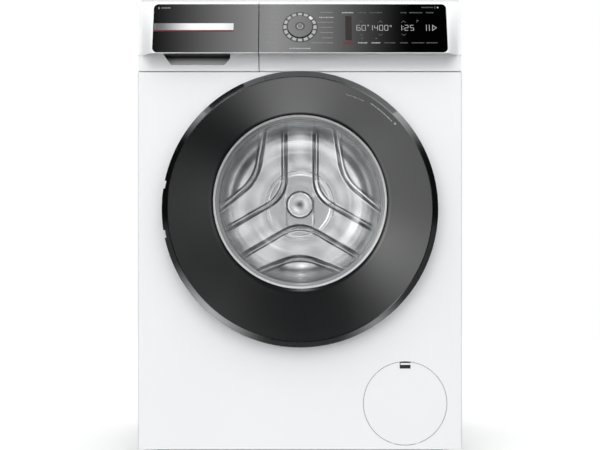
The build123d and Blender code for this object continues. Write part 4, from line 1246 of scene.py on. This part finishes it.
# soft pieces between the cabinet and the tub
gasket = {
    "thick": 0.0034,
    "line": [  # radius, and depth behind the front panel
        (0.1936, 0.0015), (0.1936, 0.0085), (0.1905, 0.0100), (0.1720, 0.0104), (0.1545, 0.0110),
        (0.1519, 0.0128), (0.1527, 0.0156), (0.1560, 0.0190), (0.1680, 0.0212), (0.1800, 0.0232),
        (0.1836, 0.0262), (0.1842, 0.0300), (0.1832, 0.0334), (0.1800, 0.0362), (0.1700, 0.0382),
        (0.1610, 0.0402), (0.1582, 0.0440), (0.1584, 0.0490), (0.1630, 0.0535), (0.1740, 0.0558),
        (0.1860, 0.0586), (0.1876, 0.0620), (0.1876, 0.0690),
    ],
}


def thickened(line, thick):
    # closed outline round an open line, half the thickness to either side
    near, far = [], []
    for i, point in enumerate(line):
        before = Vector(line[max(i - 1, 0)])
        after = Vector(line[min(i + 1, len(line) - 1)])
        along = (after - before).normalized()
        across = Vector((-along.y, along.x)) * thick / 2
        near.append(tuple(Vector(point) + across))
        far.append(tuple(Vector(point) - across))
    return near + far[::-1]


def makeGasket():
    line = [(radius, frontY + depth) for radius, depth in gasket["line"]]
    outline = thickened(line, gasket["thick"])
    seal = turned("doorSeal", outline, 192, drumZ, None, None, "grey_rubber", 50)
    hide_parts("door_gasket")
    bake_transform(seal)


def upright(name, outline, steps, x, y, material, slot):
    # closed outline of (radius, z) turned about an upright axis
    points, faces = [], []
    count = len(outline)
    for k in range(steps):
        angle = 2 * math.pi * k / steps
        across, along = math.cos(angle), math.sin(angle)
        points += [(x + radius * across, y + radius * along, z) for radius, z in outline]
        far = (k + 1) % steps * count
        for i in range(count):
            j = (i + 1) % count
            faces.append((k * count + i, k * count + j, far + j, far + i))
    return addPiece(name, points, faces, material, None, slot, 60)


def makeHose(node, name, folds, swell, wall):
    # a corrugated sleeve that fills the node's box
    low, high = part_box(node)
    x, y = (low[0] + high[0]) / 2, (low[1] + high[1]) / 2
    outer = (high[0] - low[0]) / 2
    steps = folds * 10
    outside, inside = [], []
    for i in range(steps + 1):
        t = i / steps
        wave = 0.5 - 0.5 * math.cos(2 * math.pi * folds * t)
        radius = outer - swell + swell * wave
        z = low[2] + (high[2] - low[2]) * t
        outside.append((radius, z))
        inside.append((radius - wall, z))
    hose = upright(name, outside + inside[::-1], 64, x, y, slotMaterials["black_rubber"], "black_rubber")
    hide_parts(node)
    return hose, low[2], high[2], x, y


hose, bottom, top, x, y = makeHose("dispenser_hose", "fillHose", 6, 0.0030, 0.0022)
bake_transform(hose)
hose, bottom, top, x, y = makeHose("sump_hose", "sumpHose", 5, 0.0032, 0.0028)
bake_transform(hose)
makeGasket()
print("soft joints made")


# geometry nodes
def nodeTree(name, sockets):
    # a geometry tree with named inputs, and one output
    tree = bpy.data.node_groups.new(name, "GeometryNodeTree")
    tree.interface.new_socket("Geometry", in_out="OUTPUT", socket_type="NodeSocketGeometry")
    for label, kind in sockets.items():
        tree.interface.new_socket(label, in_out="INPUT", socket_type="NodeSocket" + kind)
    source = tree.nodes.new("NodeGroupInput")
    return tree, {label: Wire(tree, source.outputs[label]) for label in sockets}


def endTree(tree, shape, material):
    real = shape.node("GeometryNodeRealizeInstances", None, {0: shape})
    painted = shape.node("GeometryNodeSetMaterial", None, {"Geometry": real, "Material": material})
    output = tree.nodes.new("NodeGroupOutput")
    tree.links.new(painted.socket, output.inputs[0])


def grown(name, tree, values, material, body, slot, sharp=40.0):
    # runs a tree on an empty mesh and keeps the result as a plain piece
    holder = bpy.data.objects.new(name + "Holder", bpy.data.meshes.new(name + "Holder"))
    bpy.context.scene.collection.objects.link(holder)
    modifier = holder.modifiers.new("grow", "NODES")
    modifier.node_group = tree
    labels = {item.name: item.identifier for item in tree.interface.items_tree if item.in_out == "INPUT"}
    for label, value in {**values, "Material": material}.items():
        modifier[labels[label]] = value
    graph = bpy.context.evaluated_depsgraph_get()
    mesh = bpy.data.meshes.new_from_object(holder.evaluated_get(graph))
    mesh.name = name
    bpy.data.objects.remove(holder)
    return finishPiece(name, mesh, material, body, slot, sharp)


def marksTree():
    # small turned marks in rows round an axis along Y, each row set half a step on
    kinds = {"Count": "Int", "Rows": "Int", "Sides": "Int", "Facing": "Float", "Material": "Material"}
    lengths = ("Radius", "Radius Step", "Start", "Pitch", "Centre X", "Centre Z")
    lengths += ("Foot", "Tip", "Depth", "Lag", "Turn")
    tree, given = nodeTree("marksInRows", {**kinds, **dict.fromkeys(lengths, "Float")})
    wire = Wire(tree)
    index = wire.node("GeometryNodeInputIndex")
    row = (index / given["Count"]).math("FLOOR", (index + 0.001) / given["Count"])
    place = index - row * given["Count"] + row * given["Lag"]
    turn = place / given["Count"] * (2 * math.pi) + given["Turn"]
    radius = given["Radius"] + row * given["Radius Step"]
    across, upward = turn.math("COSINE", turn), turn.math("SINE", turn)
    x = across * radius + given["Centre X"]
    z = upward * radius + given["Centre Z"]
    y = given["Start"] + row * given["Pitch"]
    count = given["Count"] * given["Rows"]
    points = wire.node("GeometryNodePoints", None, {"Count": count, "Position": wire.joined(x, y, z)})
    cone = {"Radius Top": given["Tip"], "Radius Bottom": given["Foot"], "Depth": given["Depth"]}
    cone["Vertices"] = given["Sides"]
    mark = wire.node("GeometryNodeMeshCone", None, cone)
    inward = 1.0 - given["Facing"]
    toward = wire.joined(across * inward * -1.0, given["Facing"] * -1.0, upward * inward * -1.0)
    facing = wire.node("FunctionNodeAlignRotationToVector", {"axis": "Z"}, {"Vector": toward})
    inputs = {"Points": points, "Instance": mark, "Rotation": facing}
    placed = wire.node("GeometryNodeInstanceOnPoints", None, inputs)
    endTree(tree, placed, given["Material"])
    return tree


rows = marksTree()
holes = {
    "shell": {
        "Count": 84,
        "Rows": 16,
        "Radius": drumRadius - 0.0012,
        "Start": shellLow[1] + 0.014,
        "Pitch": 0.0205,
    },
    "back": {
        "Count": 120,
        "Rows": 3,
        "Radius": 0.2255,
        "Radius Step": 0.0052,
        "Start": wallHigh[1] - 0.0012,
    },
}


def makePerforation():
    steel, dark = slotMaterials["stainless"], slotMaterials["dark_plastic"]
    common = {"Radius Step": 0.0, "Pitch": 0.0, "Centre X": 0.0, "Centre Z": drumZ}
    common.update({"Sides": 10, "Lag": 0.5, "Turn": 0.0})
    rim = {"Foot": 0.0031, "Tip": 0.0023, "Depth": 0.0005}
    # the holes are dark discs, painted shade for the dark seen through each hole
    holeShade = {"Foot": 0.0018, "Tip": 0.0017, "Depth": 0.0006}
    for label, facing in (("shell", 0.0), ("back", 1.0)):
        base = {**common, **holes[label], "Facing": facing}
        grown(label + "HoleRims", rows, {**base, **rim}, steel, "drum", "stainless", 20)
        grown(label + "Holes", rows, {**base, **holeShade}, dark, "drum", "stainless", 20)


tubBolts = {  # heads on the tub's flange and on the front weight
    "tubFlangeBolts": {
        "Count": 18,
        "Radius": 0.2695,
        "Start": -0.045,
        "Foot": 0.0042,
        "Tip": 0.0040,
        "Depth": 0.0038,
        "Turn": 0.17,
    },
    "counterweightBolts": {
        "Count": 6,
        "Radius": 0.228,
        "Start": -0.242,
        "Foot": 0.0085,
        "Tip": 0.0080,
        "Depth": 0.004,
        "Turn": 0.0,
    },
}


def makeTubBolts():
    common = {"Radius Step": 0.0, "Pitch": 0.0, "Centre X": 0.0, "Centre Z": drumZ}
    common.update({"Rows": 1, "Lag": 0.0, "Sides": 6, "Facing": 1.0})
    for name, sizes in tubBolts.items():
        values = {**common, **sizes}
        grown(name, rows, values, slotMaterials["zinc_steel"], "tub", "zinc_steel", 30)


def coilTree():
    # a wire coil between two ends, closed up at both
    kinds = dict.fromkeys(("Turns", "Radius", "Height", "Wire"), "Float")
    tree, given = nodeTree("wireCoil", {**kinds, "Place": "Vector", "Material": "Material"})
    wire = Wire(tree)
    sizes = {"Resolution": 20, "Rotations": given["Turns"], "Height": given["Height"]}
    sizes.update({"Start Radius": given["Radius"], "End Radius": given["Radius"]})
    coil = wire.node("GeometryNodeCurveSpiral", None, sizes)
    thread = {"Resolution": 8, "Radius": given["Wire"]}
    section = wire.node("GeometryNodeCurvePrimitiveCircle", None, thread)
    inputs = {"Curve": coil, "Profile Curve": section, "Fill Caps": True}
    body = wire.node("GeometryNodeCurveToMesh", None, inputs)
    moved = wire.node("GeometryNodeTransform", None, {"Geometry": body, "Translation": given["Place"]})
    endTree(tree, moved, given["Material"])
    return tree


springs = {
    "radius": 0.012,
    "wire": 0.0018,
    "turns": 26.0,
    "clip": 0.005,  # this much at each end of the spring
}


def makeSprings():
    low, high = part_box("suspension_springs")
    radius, thick, clip = springs["radius"], springs["wire"], springs["clip"]
    coil = coilTree()
    y = (low[1] + high[1]) / 2
    for name, x in (("leftSpring", low[0] + radius), ("rightSpring", high[0] - radius)):
        values = {"Turns": springs["turns"], "Radius": radius - thick, "Wire": thick}
        values["Height"] = high[2] - low[2] - 2 * thick
        values["Place"] = (x, y, low[2] + thick)
        spring = grown(name, coil, values, slotMaterials["zinc_steel"], None, "zinc_steel", 60)
        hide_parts("suspension_springs")
        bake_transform(spring)


makePerforation()
makeTubBolts()
makeSprings()
print("repeated pieces made")


# fascia and drawer front as one soft form, cut at the split
cover = {
    "bend": 0.2665,  # where the ends start to curve back
    "side": 0.2973,
    "bendSteps": 16,
    "flush": 0.2945,  # where they meet the front panel's plane
    "bottom": 0.7165,
    "top": 0.8465,
    "backY": frontY + 0.0285,
    "skin": 0.0024,
    "split": (-0.0763, -0.0747),
    "coveMiddle": (-0.0095, 0.7360),
}


def arcThrough(first, middle, last, count):
    # points on the circle through three points
    (ax, ay), (bx, by), (cx, cy) = first, middle, last
    d = 2 * (ax * (by - cy) + bx * (cy - ay) + cx * (ay - by))
    a2, b2, c2 = ax * ax + ay * ay, bx * bx + by * by, cx * cx + cy * cy
    ux = (a2 * (by - cy) + b2 * (cy - ay) + c2 * (ay - by)) / d
    uy = (a2 * (cx - bx) + b2 * (ax - cx) + c2 * (bx - ax)) / d
    start = math.atan2(ay - uy, ax - ux)
    end = math.atan2(cy - uy, cx - ux)
    if abs(end - start) > math.pi:
        end += math.copysign(2 * math.pi, start - end)
    radius = math.hypot(ax - ux, ay - uy)
    angles = [start + (end - start) * i / count for i in range(count + 1)]
    return [(ux + radius * math.cos(t), uy + radius * math.sin(t)) for t in angles]


def coverProfile():
    # (y, z) from the bottom edge, up the cove, over the nose and the tilted face, to the top
    lowY, lowZ = face["lowY"], face["lowZ"]
    rise = screenHigh[2] - face["lowZ"] - face["skin"] * math.sin(face["lean"])
    highY, highZ = lowY + rise * math.tan(face["lean"]), lowZ + rise
    foot = (frontY, cover["bottom"] + 0.003)  # of the cove
    middle = (frontY + cover["coveMiddle"][0], cover["coveMiddle"][1])
    bottom, top = cover["bottom"], cover["top"]
    line = [(cover["backY"], bottom), (frontY + 0.0012, bottom), (frontY, bottom + 0.0012)]
    line += arcThrough(foot, middle, (lowY + 0.002, lowZ - 0.0018), 12)
    line += [(lowY + 0.0005, lowZ - 0.0014), (lowY, lowZ - 0.0006)]
    line += [(lowY + (highY - lowY) * i / 6, lowZ + rise * i / 6) for i in range(7)]
    line += [(highY + 0.0012, highZ + 0.0024), (highY + 0.0026, top - 0.0012), (highY + 0.005, top)]
    return line + [(cover["backY"], top)]


def coverStations(x0, x1):
    # x and how far the form stands out there, from 1 in the middle to 0 at the side
    stations = []
    reach = cover["flush"] - cover["bend"]
    for i in range(cover["bendSteps"] + 1):
        t = i / cover["bendSteps"]
        stations.append((cover["bend"] + reach * t, 1.0 - t * t * (3 - 2 * t)))
    stations.append((cover["side"], 0.0))
    everything = [(-x, k) for x, k in reversed(stations)] + stations
    inside = [(x, k) for x, k in everything if x0 < x < x1]
    ends = [(x0, 1.0)] if x0 > -cover["bend"] else []
    last = [(x1, 1.0)] if x1 < cover["bend"] else []
    return ends + inside + last


def makeCover(name, node, x0, x1, body):
    profile = coverProfile()
    stations = coverStations(x0, x1)
    points, faces = [], []
    low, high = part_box(node)
    for x, k in stations:
        for y, z in profile:
            points.append((x, frontY + (y - frontY) * k if y < frontY else y, z))
    sideX = low[0] if x0 < -cover["side"] else high[0]
    order = range(len(stations) - 1)
    size = len(profile)
    for i in order:
        for j in range(size - 1):
            a = i * size + j
            faces.append((a, a + 1, a + size + 1, a + size))
    edge = 0 if x0 < -cover["side"] else (len(stations) - 1) * size
    split = (len(stations) - 1) * size if edge == 0 else 0
    base = len(points)
    points += [(sideX, cover["backY"], z) for y, z in profile]
    for j in range(size - 1):
        faces.append((edge + j, edge + j + 1, base + j + 1, base + j))
    faces.append(tuple(range(split, split + size)))
    mesh = bpy.data.meshes.new(name)
    mesh.from_pydata(points, [], faces)
    form = bmesh.new()
    form.from_mesh(mesh)
    bmesh.ops.remove_doubles(form, verts=form.verts, dist=0.000002)
    bmesh.ops.recalc_face_normals(form, faces=form.faces)
    middle = sum((f.calc_center_median() for f in form.faces), Vector()) / len(form.faces)
    outward = sum(f.normal.dot(f.calc_center_median() - middle) * f.calc_area() for f in form.faces)
    if outward < 0:
        bmesh.ops.reverse_faces(form, faces=form.faces)
    form.to_mesh(mesh)
    form.free()
    holder = bpy.data.objects.new(name + "Holder", mesh)
    bpy.context.scene.collection.objects.link(holder)
    wall = holder.modifiers.new("wall", "SOLIDIFY")
    wall.thickness = cover["skin"]
    wall.offset = -1.0
    wall.use_even_offset = False
    cutter = None
    if body == "drawer":
        cutter = gripCutter()
        cut = holder.modifiers.new("grip", "BOOLEAN")
        cut.operation = "DIFFERENCE"
        cut.object = cutter
        cut.solver = "EXACT"
    graph = bpy.context.evaluated_depsgraph_get()
    result = bpy.data.meshes.new_from_object(holder.evaluated_get(graph))
    result.name = name
    for spare in (holder, cutter):
        if spare:
            bpy.data.objects.remove(spare)
    result.shade_smooth()
    result.set_sharp_from_angle(angle=math.radians(24))
    result.materials.clear()
    result.materials.append(slotMaterials["white_plastic"])
    piece = bpy.data.objects.new(name, result)
    bpy.context.scene.collection.objects.link(piece)
    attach(piece, body)
    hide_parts(node)


def gripCutter():
    # the pocket's mouth as a prism along Y
    points = [(x, y, z) for y in (frontY - 0.06, frontY + 0.014) for x, z in grip["mouth"]]
    faces = [(0, 1, 2, 3, 4), (9, 8, 7, 6, 5)]
    faces += [(i, 5 + i, 5 + (i + 1) % 5, (i + 1) % 5) for i in range(5)]
    mesh = bpy.data.meshes.new("gripCutter")
    mesh.from_pydata(points, [], faces)
    form = bmesh.new()
    form.from_mesh(mesh)
    bmesh.ops.recalc_face_normals(form, faces=form.faces)
    form.to_mesh(mesh)
    form.free()
    cutter = bpy.data.objects.new("gripCutter", mesh)
    bpy.context.scene.collection.objects.link(cutter)
    return cutter


makeCover("drawerCover", "drawer_front", -0.3, cover["split"][0], "drawer")
makeCover("fasciaCover", "fascia", cover["split"][1], 0.3, "cabinet")
plateLow = (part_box("drawer_front")[0][0] + 0.0025, cover["backY"] - 0.0025, 0.750)
plateHigh = (cover["split"][0] - 0.0025, cover["backY"], 0.812)
addBoxes("drawerBackPlate", [(plateLow, plateHigh)], "white_plastic", "drawer")
print("covers made")


# the last line
print("scene done")
